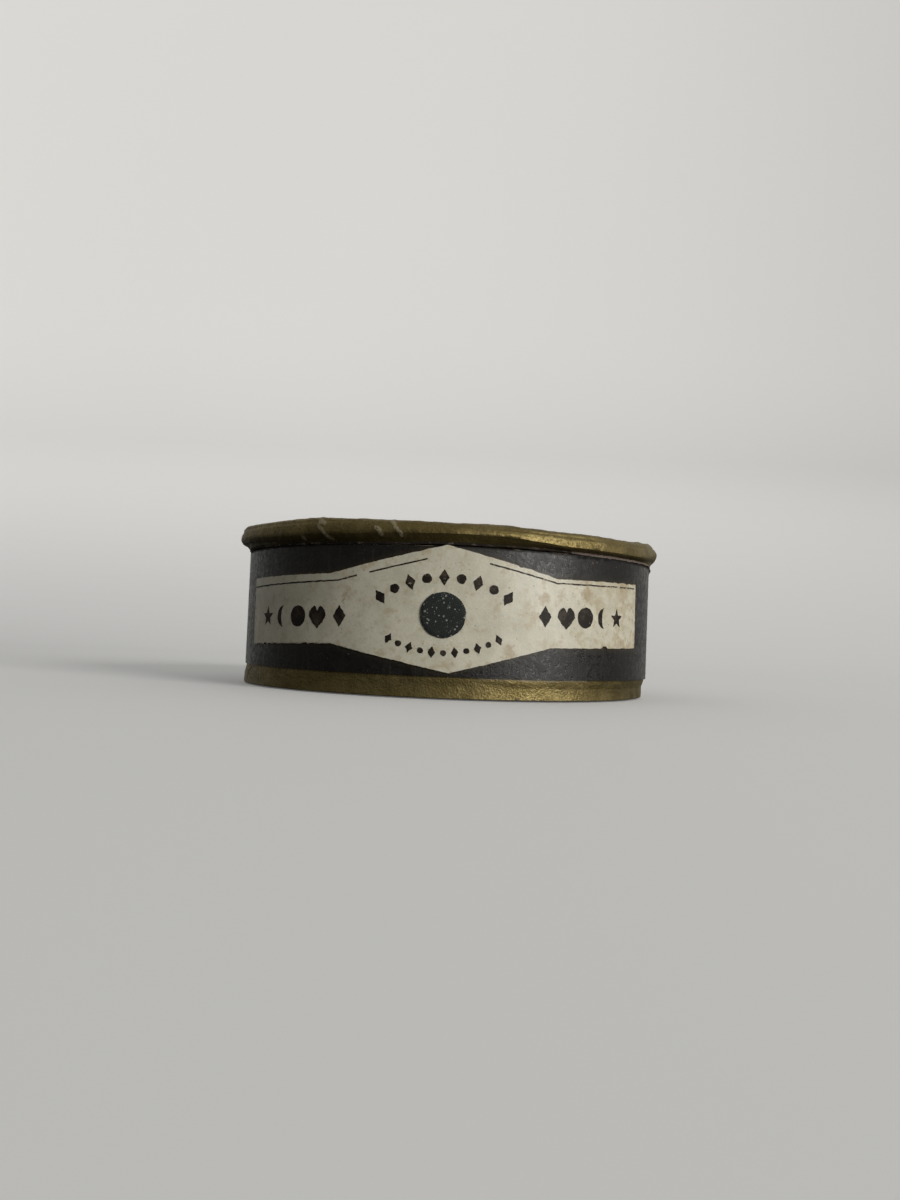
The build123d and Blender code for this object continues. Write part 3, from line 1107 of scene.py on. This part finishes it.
# Painted shade in the seam under the lid and on a patch of the front's right.
paint(wrap, "shade_and_grime", wrap_painted_shade)
apply(wrap, "SOLIDIFY", thickness=wrap_paper * MM, offset=-1)
bend_round(wrap)
dress(wrap, dark, "dark_paper", "box", "wall_wrap_paper")
print("wrap:", [round(c / MM, 2) for c in wrap.dimensions])

# %% [markdown]
# ## Lid's torn edge
# The bead's gilt paper is turned in under the lid, and its raw edge hangs a hair below the lip.
# On the front's right it is torn, and shows as a pale jagged line over a dark gap. Painting it
# on the bead would leave it flat, so it is a thin strip of its own, bent to a closed ring.

# %% Lid's torn edge
torn_strip = 0.3
torn_front = 0.08
torn_top = bead_bottom + 0.2
torn_thick = 0.05
torn = primitive(
    bpy.ops.mesh.primitive_grid_add, "lid_torn_edge", (math.tau * wall_radius, torn_strip, 1),
    (0, -torn_front, torn_top - torn_strip / 2), (math.pi / 2, 0, 0),
    x_subdivisions=1080, y_subdivisions=6, size=1)


def torn_hang(place):
    """How far the strip's lower edge is up from its uncut place."""
    angle = angle_along(place)
    jagged = waver(place.x * 1.4, 0.4, 0) + 0.7 * waver(place.x * 4.5, 7.1, 0)
    in_tear = between(angle, 28, 38) * between(angle, 72, 62)
    up = 0.13 + 0.03 * jagged - in_tear * (0.07 + 0.11 * jagged)
    return up * (torn_top - place.z) / torn_strip + lid_gap(angle)


nudge(torn, "Z", torn_hang)
# Painted shade: the torn edge is darker all round, less so towards the right.
paint(torn, "shade_and_grime", lambda p: 0.62 - 0.5 * between(angle_along(p), 26, 42))
apply(torn, "SOLIDIFY", thickness=torn_thick * MM, offset=-1)
bend_round(torn)
edit()
pick_all()
bpy.ops.mesh.remove_doubles(threshold=5e-6)
edit(False)
dress(torn, raw, "gilt_paper", "lid")

# %% [markdown]
# ## Crumbs on the wall
# A few pale crumbs of the torn paper cling to the wall, most of them under the tear. Each is a
# small disc, inset to a lump and pressed onto the wall. One is modelled at a radius of 1 mm, and
# the rest are copies of it, scaled down and turned.

# %% One crumb
crumb = primitive(
    bpy.ops.mesh.primitive_circle_add, "crumb", (1, 0.6, 1), (0, 0, 0), (math.pi / 2, 0, 0),
    vertices=10, radius=1, fill_type="NGON")
edit()
bpy.ops.mesh.select_mode(type="FACE")
pick_all()
bpy.ops.mesh.extrude_region_move(TRANSFORM_OT_translate={"value": (0, -0.35 * MM, 0)})
bpy.ops.mesh.inset(thickness=0.3 * MM, depth=0.15 * MM)
pick_all()
bpy.ops.mesh.normals_make_consistent(inside=False)
edit(False)
nudge(crumb, "NORMAL", lambda p: 0.3 * noise.noise(p * 1.3))
print("a crumb's faces:", len(crumb.data.polygons))

# %% Crumbs on the wall
# Each has its angle round the wall, its height, its size and its turn.
crumb_places = [
    (38.0, 12.04, 0.14, 0.3), (39.5, 12.13, 0.11, -0.5), (47.5, 11.95, 0.08, 1.0),
    (29.5, 11.6, 0.05, 0.2), (-24.0, 3.4, 0.06, 0.4), (56.0, 3.1, 0.05, 0.9),
    (134.0, 9.8, 0.07, 0.1), (-141.0, 6.2, 0.06, 0.7)]
pressed_in = 0.01
crumb_copies = []
for angle, height, size, roll in crumb_places:
    piece = copied(crumb)
    onto_wall = Matrix.Translation((0, -(wall_radius - pressed_in) * MM, height * MM))
    round_the_box = Matrix.Rotation(math.radians(angle), 4, "Z")
    in_place = round_the_box @ onto_wall @ Matrix.Rotation(roll, 4, "Y")
    piece.matrix_world = in_place @ Matrix.Scale(size, 4)
    bpy.ops.object.transform_apply(location=True, rotation=True, scale=True)
    crumb_copies.append(piece)
bpy.data.objects.remove(crumb)
crumbs = joined(crumb_copies, crumb_copies[-1])
crumbs.name = crumbs.data.name = "wall_paper_crumbs"
dress(crumbs, raw, "dark_paper", "box")

# %% [markdown]
# ## Gilt paper round the foot
# The foot is a thick board with gilt paper drawn down its edge and turned under. It was glued a
# little off centre, so its lower part spins round one axis and its top edge moves back to meet
# the wall. A cylinder would miss that, and the soft turn of the paper at the floor.

# %% Foot's section
foot_low, foot_high = (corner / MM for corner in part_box("base_gilt_edging"))
foot_shift = 0.2
foot_flare = 0.8
foot_spread = 0.1
foot_turned_under = 3.2
foot_fold = 0.08
foot_radius = foot_high.x - foot_spread
foot_inner = foot_radius - foot_turned_under
foot_shoulder = foot_high.z - foot_flare
foot_half = foot_shoulder / 2
foot = section(
    "foot_gilt_paper", (foot_inner - foot_shift, foot_low.z),
    (foot_radius - foot_shift, foot_shoulder))
edit()
pick(foot, lambda p: p.x < foot_inner and p.z > foot_half)
bpy.ops.mesh.delete(type="VERT")
pick(foot, lambda p: p.x > foot_inner and p.z < foot_half)
bpy.ops.mesh.bevel(offset=foot_fold * MM, segments=3, affect="VERTICES")
pick(foot, lambda p: p.z > foot_half)
lengthen(0.3 * foot_spread, foot_flare / 2)
lengthen(0.7 * foot_spread, foot_flare / 2)
pick(foot, lambda p: p.x > 19 and p.z > 0.2, "EDGE")
bpy.ops.mesh.subdivide(number_cuts=3)
pick(foot, lambda p: p.z < 0.11, "EDGE")
bpy.ops.mesh.subdivide(number_cuts=5)
spin_section(foot, 720, -foot_shift)


def back_to_wall(place):
    """The top edge moves back by the foot's shift, to meet the wall all round."""
    return foot_shift * max(place.z - foot_shoulder, 0.0) / foot_flare


nudge(foot, "X", back_to_wall)


# %% Foot's crumples
def foot_free(place):
    """The part of the foot's paper that is clear of the floor and of the wall."""
    return between(place.z, 0.1, 0.17) * between(place.z, 1.88, 1.5)


foot_creases = [
    ((-66.0, 1.6), (-69.5, 0.9), (-71.0, 0.4)),
    ((100.0, 1.5), (103.0, 0.5)),
    ((171.0, 1.3), (173.0, 0.7), (176.0, 0.4)),
]
foot_scuffs = [
    ((-46.5, 1.3), (-45.8, 0.5)),
    ((19.0, 1.75), (24.0, 1.72), (29.0, 1.74)),
    ((26.0, 0.85), (29.0, 0.7), (33.0, 0.8)),
    ((-120.0, 1.5), (-122.0, 0.9)),
    ((140.0, 0.9), (144.0, 0.7)),
]
crease_width, scuff_width = 0.22, 0.2
on_creases = near_lines(foot_creases, foot_radius, crease_width)
on_scuffs = near_lines(foot_scuffs, foot_radius, scuff_width)
crumple(foot, 0.10, 3.0, lambda p: foot_free(p) * (0.25 + 0.75 * between(p.z, 0.2, 0.8)))
crumple(foot, 0.06, 0.8, lambda p: foot_free(p) * (0.2 + 0.8 * between(p.z, 0.2, 0.8)))


def foot_puff(place):
    """The paper stands off the board a little, most of all near the floor, and less at right."""
    if radius_of(place) < 19.3:
        return 0.0
    near_floor = 0.07 * between(place.z, 0.9, 0.25) * between(angle_of(place), 72, 40)
    return (0.05 + near_floor) * foot_free(place) - 0.06 * on_creases(place)


nudge(foot, "NORMAL", foot_puff)


# %% Foot's wear and finish
def foot_rub(place):
    """Worn through where the papers meet and along the floor; painted highlight at the front's
    right.
    """
    front = between(angle_of(place), 2, 12) * between(angle_of(place), 46, 32)
    # The seam's extra paleness at the front's right is a painted highlight.
    seam = (0.26 + 0.4 * front) * between(place.z, 1.7, 1.8)
    return max(0.45 * on_scuffs(place), seam, 0.2 * between(place.z, 0.5, 0.25))


def foot_dirt_and_shade(place):
    """Dirt mixed with painted shade in the creases, the seam with the wall and two front patches."""
    angle = angle_of(place)
    seam = 0.28 * between(place.z, 1.3, 1.6)
    left = 0.4 * between(angle, -40, -22) * between(angle, 10, -4) * between(place.z, 0.5, 1.1)
    right = 0.48 * between(angle, 6, 16) * between(angle, 56, 44) * between(place.z, 1.1, 0.6)
    return max(0.7 * on_creases(place), max(seam, left, right) * between(place.z, 1.76, 1.66))


paint(foot, "rub", foot_rub)
# Dirt mixed with painted shade in the creases, the seam and on the front.
paint(foot, "shade_and_grime", foot_dirt_and_shade)
apply(foot, "SOLIDIFY", thickness=gilt_paper * MM, offset=-1)
dress(foot, gilt, "gilt_paper", "box", "base_gilt_edging")

# %% [markdown]
# ## Label
# A die-cut slip of cream paper with a bulge in its middle. It is drawn flat, as the printer
# cut it: a row of four faces whose corners are moved to the outline, then divided finely enough
# to bend. It is tilted by a little more than a degree, as it was pasted, and bent round the wall.

# %% Label's outline
label_low, label_high = (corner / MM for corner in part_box("side_label"))
label_height = (label_low.z + label_high.z) / 2
label_top = [(-21.4, 3.0), (-9.85, 3.04), (0.3, 5.35), (9.95, 2.82), (20.7, 2.83)]
label_bottom = [(-21.4, -3.02), (-9.85, -2.88), (0.5, -5.14), (9.3, -2.97), (20.7, -2.97)]
label_paper = 0.12
label_tilt = math.radians(1.3)
label_shift = math.radians(-1.0) * wall_radius
start_wide, start_tall = 4, 6
label = primitive(
    bpy.ops.mesh.primitive_grid_add, "side_label_paper", (start_wide, start_tall, 1),
    (0, -label_paper, 0), (math.pi / 2, 0, 0), x_subdivisions=4, y_subdivisions=1, size=1)
edit()
for side, outline in ((start_tall / 2, label_top), (-start_tall / 2, label_bottom)):
    for start, (x, z) in zip(range(-2, 3), outline):
        pick(label, lambda p: abs(p.x - start) < 0.01 and abs(p.z - side) < 0.01)
        move(x=x - start, z=z - side)
pick_all()
bpy.ops.mesh.subdivide(number_cuts=55)
edit(False)
print("label:", [round(c / MM, 2) for c in label.dimensions], len(label.data.polygons))


# %% Label's worn edge
def straight(outline, x):
    """The height of an outline of straight lines, at a place along the label."""
    for (a, low), (b, high) in zip(outline, outline[1:]):
        if x <= b:
            return low + (high - low) * (x - a) / (b - a)
    return outline[-1][1]


def to_edge(place):
    """Millimetres from the label's nearest edge."""
    ends = min(place.x - label_top[0][0], label_top[-1][0] - place.x)
    to_top = straight(label_top, place.x) - place.z
    return min(to_top, place.z - straight(label_bottom, place.x), ends)


# Each nick has its place along the label, its width, its depth, and 1 for the top or -1 below.
label_nicks = [
    (15.4, 0.45, 0.2, -1), (18.8, 0.25, 0.09, 1), (19.9, 0.2, 0.12, 1), (16.4, 0.16, 0.06, 1),
    (17.3, 0.12, 0.05, 1), (-20.2, 0.3, 0.06, -1), (-18.6, 0.22, 0.1, -1), (-17.7, 0.16, 0.08, -1),
    (-16.8, 0.2, 0.05, -1), (-12.6, 0.2, 0.09, -1), (-11.7, 0.16, 0.05, -1), (6.4, 0.16, 0.06, 1),
    (-3.9, 0.14, 0.05, -1)]


def ragged(place):
    """The cut edge wanders a little, and has a notch at the lower right and small nicks."""
    side = 1 if place.z > 0 else -1
    wander = 0.05 * waver(place.x * 1.3, 5.0 * side, 2.0) + 0.03 * waver(place.x * 5, side, 7)
    notch = 0.0
    for x, width, depth, edge in label_nicks:
        if edge == side:
            notch += depth * between(abs(place.x - x), width, width * 0.5)
    return -side * (notch + wander) * between(to_edge(place), 0.6, 0.0)


def ragged_end(place):
    """The two ends wander too."""
    return 0.06 * waver(place.z * 1.9, place.x, 4.0) * between(abs(place.x), 20.0, 20.7)


nudge(label, "Z", ragged)
nudge(label, "X", ragged_end)


# %% Label's age
# Each stain has its place along and up the flat label, and its radius.
label_stains = [
    (7.3, -0.8, 1.6), (13.5, 1.5, 1.3), (14.5, 0.8, 1.0), (18.1, 2.0, 1.4), (5.5, -3.2, 1.2),
    (0.6, -4.3, 0.9), (-8.2, 1.2, 1.0), (8.6, 0.9, 1.0), (-1.5, 4.6, 0.8)]


def in_stain(place):
    """1 in the middle of a stain, and 0 outside them all."""
    distances = ((math.hypot(place.x - x, place.z - z), size) for x, z, size in label_stains)
    return max(between(distance, size, size * 0.2) for distance, size in distances)


def label_age(place):
    """Browner towards the right, round old damp spots and at the edge."""
    aged_right = 0.28 * between(place.x, 6, 18)
    aged_edge = 0.15 * between(to_edge(place), 1.0, 0.0)
    return 0.22 + aged_right + 0.4 * in_stain(place) + aged_edge


def label_rub(place):
    """The cut edge has browned, most of all along the lower left, where it is nibbled."""
    lower_left = between(place.x, -6, -9) if place.z < 0 else 0.0
    return (0.42 + 0.16 * lower_left) * between(to_edge(place), 0.22 + 0.1 * lower_left, 0.02)


paint(label, "rub", label_rub)
paint(label, "age", label_age)


# %% Helper for what is on the wall's front
def paste_on(piece, tilted=True):
    """Tilts a flat piece like the label, lifts it to the label's height and bends it on."""
    edit()
    pick_all()
    if tilted:
        bpy.ops.transform.rotate(value=label_tilt, orient_axis="Y", center_override=(0, 0, 0))
    move(x=label_shift, z=label_height)
    edit(False)
    bend_round(piece)


apply(label, "SOLIDIFY", thickness=label_paper * MM, offset=-1)
paste_on(label)
dress(label, cream, "label_paper", "box", "side_label")


# %% Glue round the label
def glue_stain(place):
    """Glue that crept out from under the label, and browned on the dark paper."""
    along = math.radians(angle_of(place)) * wall_radius - label_shift
    up = place.z - label_height
    flat = Vector((along * math.cos(label_tilt) + up * math.sin(label_tilt), 0,
                   up * math.cos(label_tilt) - along * math.sin(label_tilt)))
    crept = 0.3 + 0.25 * waver(along * 0.5, up * 0.7, 3.0)
    return between(-to_edge(flat), crept + 0.25, 0.05)


paint(wrap, "glue", glue_stain)

# %% [markdown]
# ## Print on the label
# The label has a broken rule along its top edge, as the real one has, and a plain ornament of
# patch shapes that was made for this model. The ink is a very thin layer of its own, so its
# edges stay crisp. Each shape is modelled once, at a radius of 1 mm, and copied.

# %% Shapes of the ornament
def shape(name, corners):
    """A flat filled disc of unit radius, standing in the label's plane, as a start."""
    return primitive(
        bpy.ops.mesh.primitive_circle_add, name, (1, 1, 1), (0, 0, 0), (math.pi / 2, 0, 0),
        vertices=corners, radius=1, fill_type="NGON")


def resize(x, y, z, about=0.0):
    """In edit mode, scales what is selected about a height on the axis."""
    bpy.ops.transform.resize(value=(x, y, z), center_override=(0, 0, about * MM))


def spot_shape():
    """The plain disc."""
    return shape("spot", 24)


def lozenge_shape():
    """A disc of four corners, made narrower."""
    piece = shape("lozenge", 4)
    edit()
    pick_all()
    resize(0.66, 1, 1)
    bpy.ops.mesh.subdivide(number_cuts=3)
    edit(False)
    return piece


def star_shape():
    """A disc of ten corners, with every second one drawn in."""
    piece = shape("star", 10)
    edit()
    pick(piece, lambda p: 9 < round(math.degrees(math.atan2(p.x, p.z))) % 72 < 63)
    resize(0.44, 0.44, 0.44)
    edit(False)
    return piece


def crescent_shape():
    """A disc whose right half is folded over to the left and flattened."""
    piece = shape("crescent", 40)
    edit()
    pick(piece, lambda p: p.x > 0.02)
    resize(-0.38, 1, 1)
    pick_all()
    move(x=0.35)
    edit(False)
    return piece


def heart_shape():
    """A disc drawn in by steps to a point below, with its top pushed down in the middle."""
    piece = shape("heart", 32)
    edit()
    for depth, narrow in ((0.1, 0.9), (0.35, 0.84), (0.6, 0.76), (0.85, 0.6)):
        pick(piece, lambda p: p.z < -depth)
        resize(narrow, 1, 1.06, -depth)
    pick(piece, lambda p: abs(p.x) < 0.1 and p.z > 0.5)
    move(z=-0.55)
    pick(piece, lambda p: 0.1 < abs(p.x) < 0.3 and p.z > 0.5)
    move(z=-0.18)
    edit(False)
    return piece


shapes = {"spot": spot_shape(), "lozenge": lozenge_shape(), "star": star_shape(),
          "crescent": crescent_shape(), "heart": heart_shape()}
print("shapes:", {kind: len(start.data.vertices) for kind, start in shapes.items()})

# %% Helpers for printing
ink_pieces = []
ink_clear = 0.014
ink_front = -label_paper - ink_clear


def stamp(kind, x, z, size, turn=0.0):
    """Copies a shape to a place on the flat label, divided finely enough to bend with it."""
    piece = copied(shapes[kind])
    piece.rotation_euler = (0, -math.radians(turn), 0)
    piece.scale = (size / 2, size / 2, size / 2)
    piece.location = Vector((x, ink_front, z)) * MM
    bpy.ops.object.transform_apply(location=True, rotation=True, scale=True)
    edit()
    pick_all()
    bpy.ops.mesh.quads_convert_to_tris(ngon_method="BEAUTY")
    bpy.ops.mesh.subdivide(number_cuts=2)
    edit(False)
    ink_pieces.append(piece)


def stamp_arc(reach, degrees, radius, middle, side, even, odd):
    """Two shapes by turns on an arc over the patch, or under it where side is -1."""
    for step in range(-reach, reach + 1):
        angle = math.radians(step * degrees)
        kind, size = even if step % 2 == 0 else odd
        x = patch_along + radius * math.sin(angle)
        z = middle + side * radius * math.cos(angle)
        stamp(kind, x, z, size, -side * step * degrees)


def rule(start, end, width=0.125, division=0.3):
    """A straight printed line between two places on the flat label, divided to bend with it."""
    (a, b), (c, d) = start, end
    length = math.hypot(c - a, d - b)
    line = primitive(
        bpy.ops.mesh.primitive_grid_add, "rule", (length, width, 1),
        ((a + c) / 2, ink_front, (b + d) / 2), (math.pi / 2, -math.atan2(d - b, c - a), 0),
        x_subdivisions=max(int(length / division), 1), y_subdivisions=1, size=1)
    ink_pieces.append(line)


# %% Placing the ornament
top_rules = [
    [(-21.25, 2.20), (-9.15, 2.44), (-7.4, 2.84)],
    [(-6.25, 3.08), (-1.35, 4.18)],
    [(3.75, 3.88), (9.85, 2.46), (20.4, 2.45)],
]
for line in top_rules:
    for start, end in zip(line, line[1:]):
        rule(start, end)
row = ["star", "crescent", "spot", "heart", "lozenge"]
left_start, left_step, left_up, left_size = -18.2, 2.3, -0.56, 1.85
right_start, right_step, right_up, right_size = 17.1, -2.1, -0.36, 1.8
for step, kind in enumerate(row):
    stamp(kind, left_start + left_step * step, left_up, left_size)
    stamp(kind, right_start + right_step * step, right_up, right_size)
patch_along = 0.05
stamp_arc(4, 8.6, 9.4, -6.72, 1, even=("lozenge", 1.35), odd=("spot", 0.8))
stamp_arc(5, 5.6, 9.7, 6.2, -1, even=("spot", 0.5), odd=("lozenge", 0.95))
print("ink pieces:", len(ink_pieces))

# %% Joining the print
ink_thick = 0.02
label_print = joined(ink_pieces, ink_pieces[0])
label_print.name = label_print.data.name = "label_print"
for start in shapes.values():
    bpy.data.objects.remove(start)


def ink_spread(place, offset):
    """How far the ink has crept or fallen short at its edges."""
    return 0.05 * waver(place.x * 3.5, place.z * 3.5, offset)


def ink_rub(place):
    """More worn to the right, and along the top, where the rule is."""
    top = 0.14 if place.z > 2.0 else 0.0
    return 0.2 + 0.1 * between(place.x, 0, 15) + top


nudge(label_print, "X", lambda p: ink_spread(p, 2.0))
nudge(label_print, "Z", lambda p: ink_spread(p, 8.0))
paint(label_print, "rub", ink_rub)
apply(label_print, "SOLIDIFY", thickness=ink_thick * MM, offset=-1)
paste_on(label_print)
dress(label_print, ink, "label_paper", "box")

# %% [markdown]
# ## Sample patch
# One real patch is stuck in the label's middle, to show what the box holds. It is a disc cut by
# hand from cloth, so its edge wavers and its rim is rounded over by wear.

# %% Sample patch
sample_low, sample_high = (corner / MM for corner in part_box("sample_patch"))
sample_radius = (sample_high.z - sample_low.z) / 2
sample_height = (sample_low.z + sample_high.z) / 2
cloth_thick = 0.15
rim_round = 0.14
rim_drop = 0.06
rim_ring, inner_ring = 0.06, 0.26
back_clear = 0.05
sample = primitive(
    bpy.ops.mesh.primitive_circle_add, "sample_patch_cloth", (sample_radius,) * 3,
    (0, -label_paper - cloth_thick, 0), (math.pi / 2, 0, 0),
    vertices=96, radius=1, fill_type="NGON")
edit()
ring_face([rim_ring] * 2 + [inner_ring] * 6)
edit(False)


def cut_by_hand(place):
    """The edge wavers, by a share of the place's distance from the middle."""
    wander = 0.03 * waver(place.x, place.z, 1.7) + 0.012 * waver(place.x * 4, place.z * 4, 0.3)
    return wander * between(math.hypot(place.x, place.z), 1.2, sample_radius)


def worn_rim(place):
    """The rim's front is rounded back towards the label."""
    from_middle = math.hypot(place.x, place.z)
    return rim_drop * between(from_middle, sample_radius - rim_round, sample_radius)


nudge(sample, "X", lambda p: cut_by_hand(p) * p.x)
nudge(sample, "Z", lambda p: cut_by_hand(p) * p.z)
nudge(sample, "Y", worn_rim)
apply(sample, "SOLIDIFY", thickness=cloth_thick * MM, offset=-1)
nudge(sample, "Y", lambda p: -back_clear if p.y > -label_paper + 0.03 else 0.0)
edit()
pick_all()
move(z=sample_height - label_height)
edit(False)
paste_on(sample, False)
dress(sample, sample_cloth, "patch_cloth", "box", "sample_patch")

# %% [markdown]
# ## Paper over the neck
# Thin lining paper goes up the neck's outside, over its top edge and down its inside. Its folds
# over the board are soft, and its ends lap inside at the back. It is a section of three sides
# with rounded corners, spun round the axis, because a bent sheet would need two folds as well.

# %% Paper over the neck
neck_low, neck_high = (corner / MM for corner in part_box("neck_paper"))
neck_radius = neck_high.x
floor_clear = 0.03
neck_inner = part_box("floor_paper")[1].x / MM + floor_clear
lining_thick = 0.9 * (neck_high.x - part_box("neck_ring")[1].x / MM)
neck_fold = 0.22
neck_middle = (neck_low.z + neck_high.z) / 2
neck = section("neck_cover_paper", (neck_inner, neck_low.z), (neck_radius, neck_high.z))
edit()
pick(neck, lambda p: p.z > neck_middle)
bpy.ops.mesh.bevel(offset=neck_fold * MM, segments=5, affect="VERTICES")
pick_all()
bpy.ops.mesh.delete(type="ONLY_FACE")
pick(neck, lambda p: p.z < neck_middle, "EDGE")
bpy.ops.mesh.delete(type="EDGE")
pick(neck, lambda p: p.x < neck_inner + 0.01, "EDGE")
bpy.ops.mesh.subdivide(number_cuts=24)
pick(neck, lambda p: p.x > neck_radius - 0.01, "EDGE")
bpy.ops.mesh.subdivide(number_cuts=12)
spin_section(neck, 360)


def neck_waves(place):
    """The lining is slack inside, and its ends lap there at the back."""
    inside = between(radius_of(place), neck_inner + 0.1, neck_inner)
    slack = max(0.03 + 0.05 * waver(place.x * 0.3, place.y * 0.3, place.z * 0.12), 0.0)
    free = between(place.z, 2.3, 3.5) * between(place.z, neck_high.z, neck_high.z - 1)
    lap = 0.09 * between(angle_of(place), 160, 160.6) * between(angle_of(place), 169, 168)
    return -inside * (slack * free + lap)


def neck_dents(place):
    """The top fold is dented here and there."""
    dented = between(waver(place.x * 0.5, place.y * 0.5, 2.0), 0, 0.4)
    return -0.03 * dented * between(place.z, 13, 13.6)


nudge(neck, "X", lambda p: neck_waves(p) * p.x / radius_of(p))
nudge(neck, "Y", lambda p: neck_waves(p) * p.y / radius_of(p))
nudge(neck, "Z", neck_dents)
apply(neck, "SOLIDIFY", thickness=lining_thick * MM, offset=-1)
dress(neck, lining, "lining_paper", "box", "neck_paper")

# %% [markdown]
# ## Paper on the lid
# A disc of the dark paper covers the lid's board and hides the gilt paper's turned edge. It
# isn't in the photograph, so it is plain. Damp has cockled it, and its edge has let go a little.

# %% Paper on the lid
cover_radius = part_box("lid_top_paper")[1].x / MM
cover_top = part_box("lid_top_paper")[1].z / MM
cover_paper = 0.1
edge_ring, cockle_ring = 0.15, 0.78
cover = primitive(
    bpy.ops.mesh.primitive_circle_add, "lid_cover_paper", (cover_radius, cover_radius, 1),
    (0, 0, cover_top), vertices=240, radius=1, fill_type="NGON")
edit()
ring_face([edge_ring] * 3 + [cockle_ring] * 22)
edit(False)


def cover_edge(place, width):
    """1 at the paper's edge, and 0 further in than a width."""
    return between(radius_of(place), cover_radius - width, cover_radius)


def cover_cut(place):
    """The edge was cut by hand, so it wavers."""
    return 0.04 * waver(place.x, place.y, 8.0) * cover_edge(place, 0.5)


def cover_cockle(place):
    """Low swells over the paper, and an edge that has come unstuck in two places."""
    angle = angle_of(place)
    swell = 0.14 * between(waver(place.x * 0.09, place.y * 0.09, 1.0), -0.3, 0.5)
    loose = max(between(abs(angle - 52), 16, 4), between(abs(angle + 128), 12, 3))
    return swell + 0.07 * loose * cover_edge(place, 1.3)


def cover_rub(place):
    """The paper is scuffed here and there, and its edge is worn."""
    scuffed = 0.38 * between(waver(place.x * 0.5, place.y * 0.12, 4.0), 0.1, 0.5)
    return max(scuffed, 0.48 * cover_edge(place, 0.35))


def cover_dull(place):
    """Handling has dulled the glaze, more in some places than in others."""
    return 0.45 + 0.3 * waver(place.x * 0.25, place.y * 0.25, 6.0)


nudge(cover, "X", cover_cut)
nudge(cover, "Z", cover_cockle)
paint(cover, "rub", cover_rub)
paint(cover, "dull", cover_dull)
apply(cover, "SOLIDIFY", thickness=cover_paper * MM, offset=-1)
dress(cover, dark, "dark_paper", "lid", "lid_top_paper")

# %% [markdown]
# ## Loose patches
# The box holds a few patches of six shapes, which lie about on its floor. Flat, they would look
# printed there. Real ones curl as their gum dries, so each is cut off from its kind, divided
# into strips both ways, and curled along its own direction.

# %% Helpers for loose patches
patch_rim = 0.03
strip_wide = 0.6
strips_each_way = 26


def copied_patches(kind):
    """A copy of the measured patches of a kind, merged and with their rims rounded."""
    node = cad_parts[kind + "_patches"]
    piece = copied(node)
    piece.parent = None
    piece.matrix_world = node.matrix_world.copy()
    piece.name = piece.data.name = kind + "_cloth_patches"
    bpy.ops.object.transform_apply(location=True, rotation=True, scale=True)
    edit()
    pick_all()
    bpy.ops.mesh.remove_doubles(threshold=1e-6)
    bpy.ops.mesh.dissolve_limited(angle_limit=math.radians(1))
    edit(False)
    apply(piece, "BEVEL", width=patch_rim * MM, segments=2, limit_method="ANGLE")
    return piece


def in_strips(piece):
    """Divides the patches into strips both ways, and gives each one back as a piece."""
    edit()
    for axis in ((1, 0, 0), (0, 1, 0)):
        for step in range(-strips_each_way, strips_each_way + 1):
            pick_all()
            bpy.ops.mesh.bisect(plane_co=Vector(axis) * step * strip_wide * MM, plane_no=axis)
    pick_all()
    bpy.ops.mesh.normals_make_consistent(inside=False)
    bpy.ops.mesh.separate(type="LOOSE")
    edit(False)
    return list(bpy.context.selected_objects)


def curl_up(single, seed):
    """Curls one patch up at both ends of a direction of its own."""
    corners = [Vector(corner) / MM for corner in single.bound_box]
    middle = (corners[0] + corners[6]) / 2
    reach = (corners[6] - corners[0]).length / 2
    turn = math.pi * waver(seed, 0.3, 0.7)
    curl = 0.2 + 0.4 * between(waver(seed, 5.3, 1.7), -0.5, 0.5)
    curl_way = Vector((math.cos(turn), math.sin(turn), 0))
    nudge(single, "Z", lambda p: curl * ((p - middle).dot(curl_way) / reach * 1.3) ** 2)


# %% Loose patches
curl_seed = 4.0
seed_step = 1.7
for kind in ("round", "dot", "crescent", "star", "heart", "lozenge"):
    patches = copied_patches(kind)
    singles = in_strips(patches)
    for single in sorted(singles, key=lambda o: o.bound_box[0][0]):
        curl_seed += seed_step
        curl_up(single, curl_seed)
    joined(singles, patches)
    dress(patches, loose_cloth, "patch_cloth", "box", kind + "_patches")

# %% [markdown]
# ## Boards and papers that stay as they are
# The boards, the floor's and the lid's linings and the paper under the foot are plain forms that
# the measured parts already have, so they keep those meshes and only take their finishes.

# %% Finishes for the measured parts
kept_parts = {
    board: ["base_board", "wall_tube", "neck_ring", "lid_board"],
    dark: ["base_underside_paper"],
    lining: ["floor_paper", "lid_lining_paper"],
}
for coat, names in kept_parts.items():
    for name in names:
        finish(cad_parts[name], coat)
print("parts that keep their meshes:", sum(len(names) for names in kept_parts.values()))

# %% [markdown]
# ## Measuring up
# The dressed box has to stay the size of the measured one, so both are printed side by side
# before the scene is finished.

# %% Size and finish
dressed_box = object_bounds()
for title, (low, high) in (("measured", cad_box), ("dressed", dressed_box)):
    print(title, [round(c / MM, 2) for c in low], [round(c / MM, 2) for c in high])
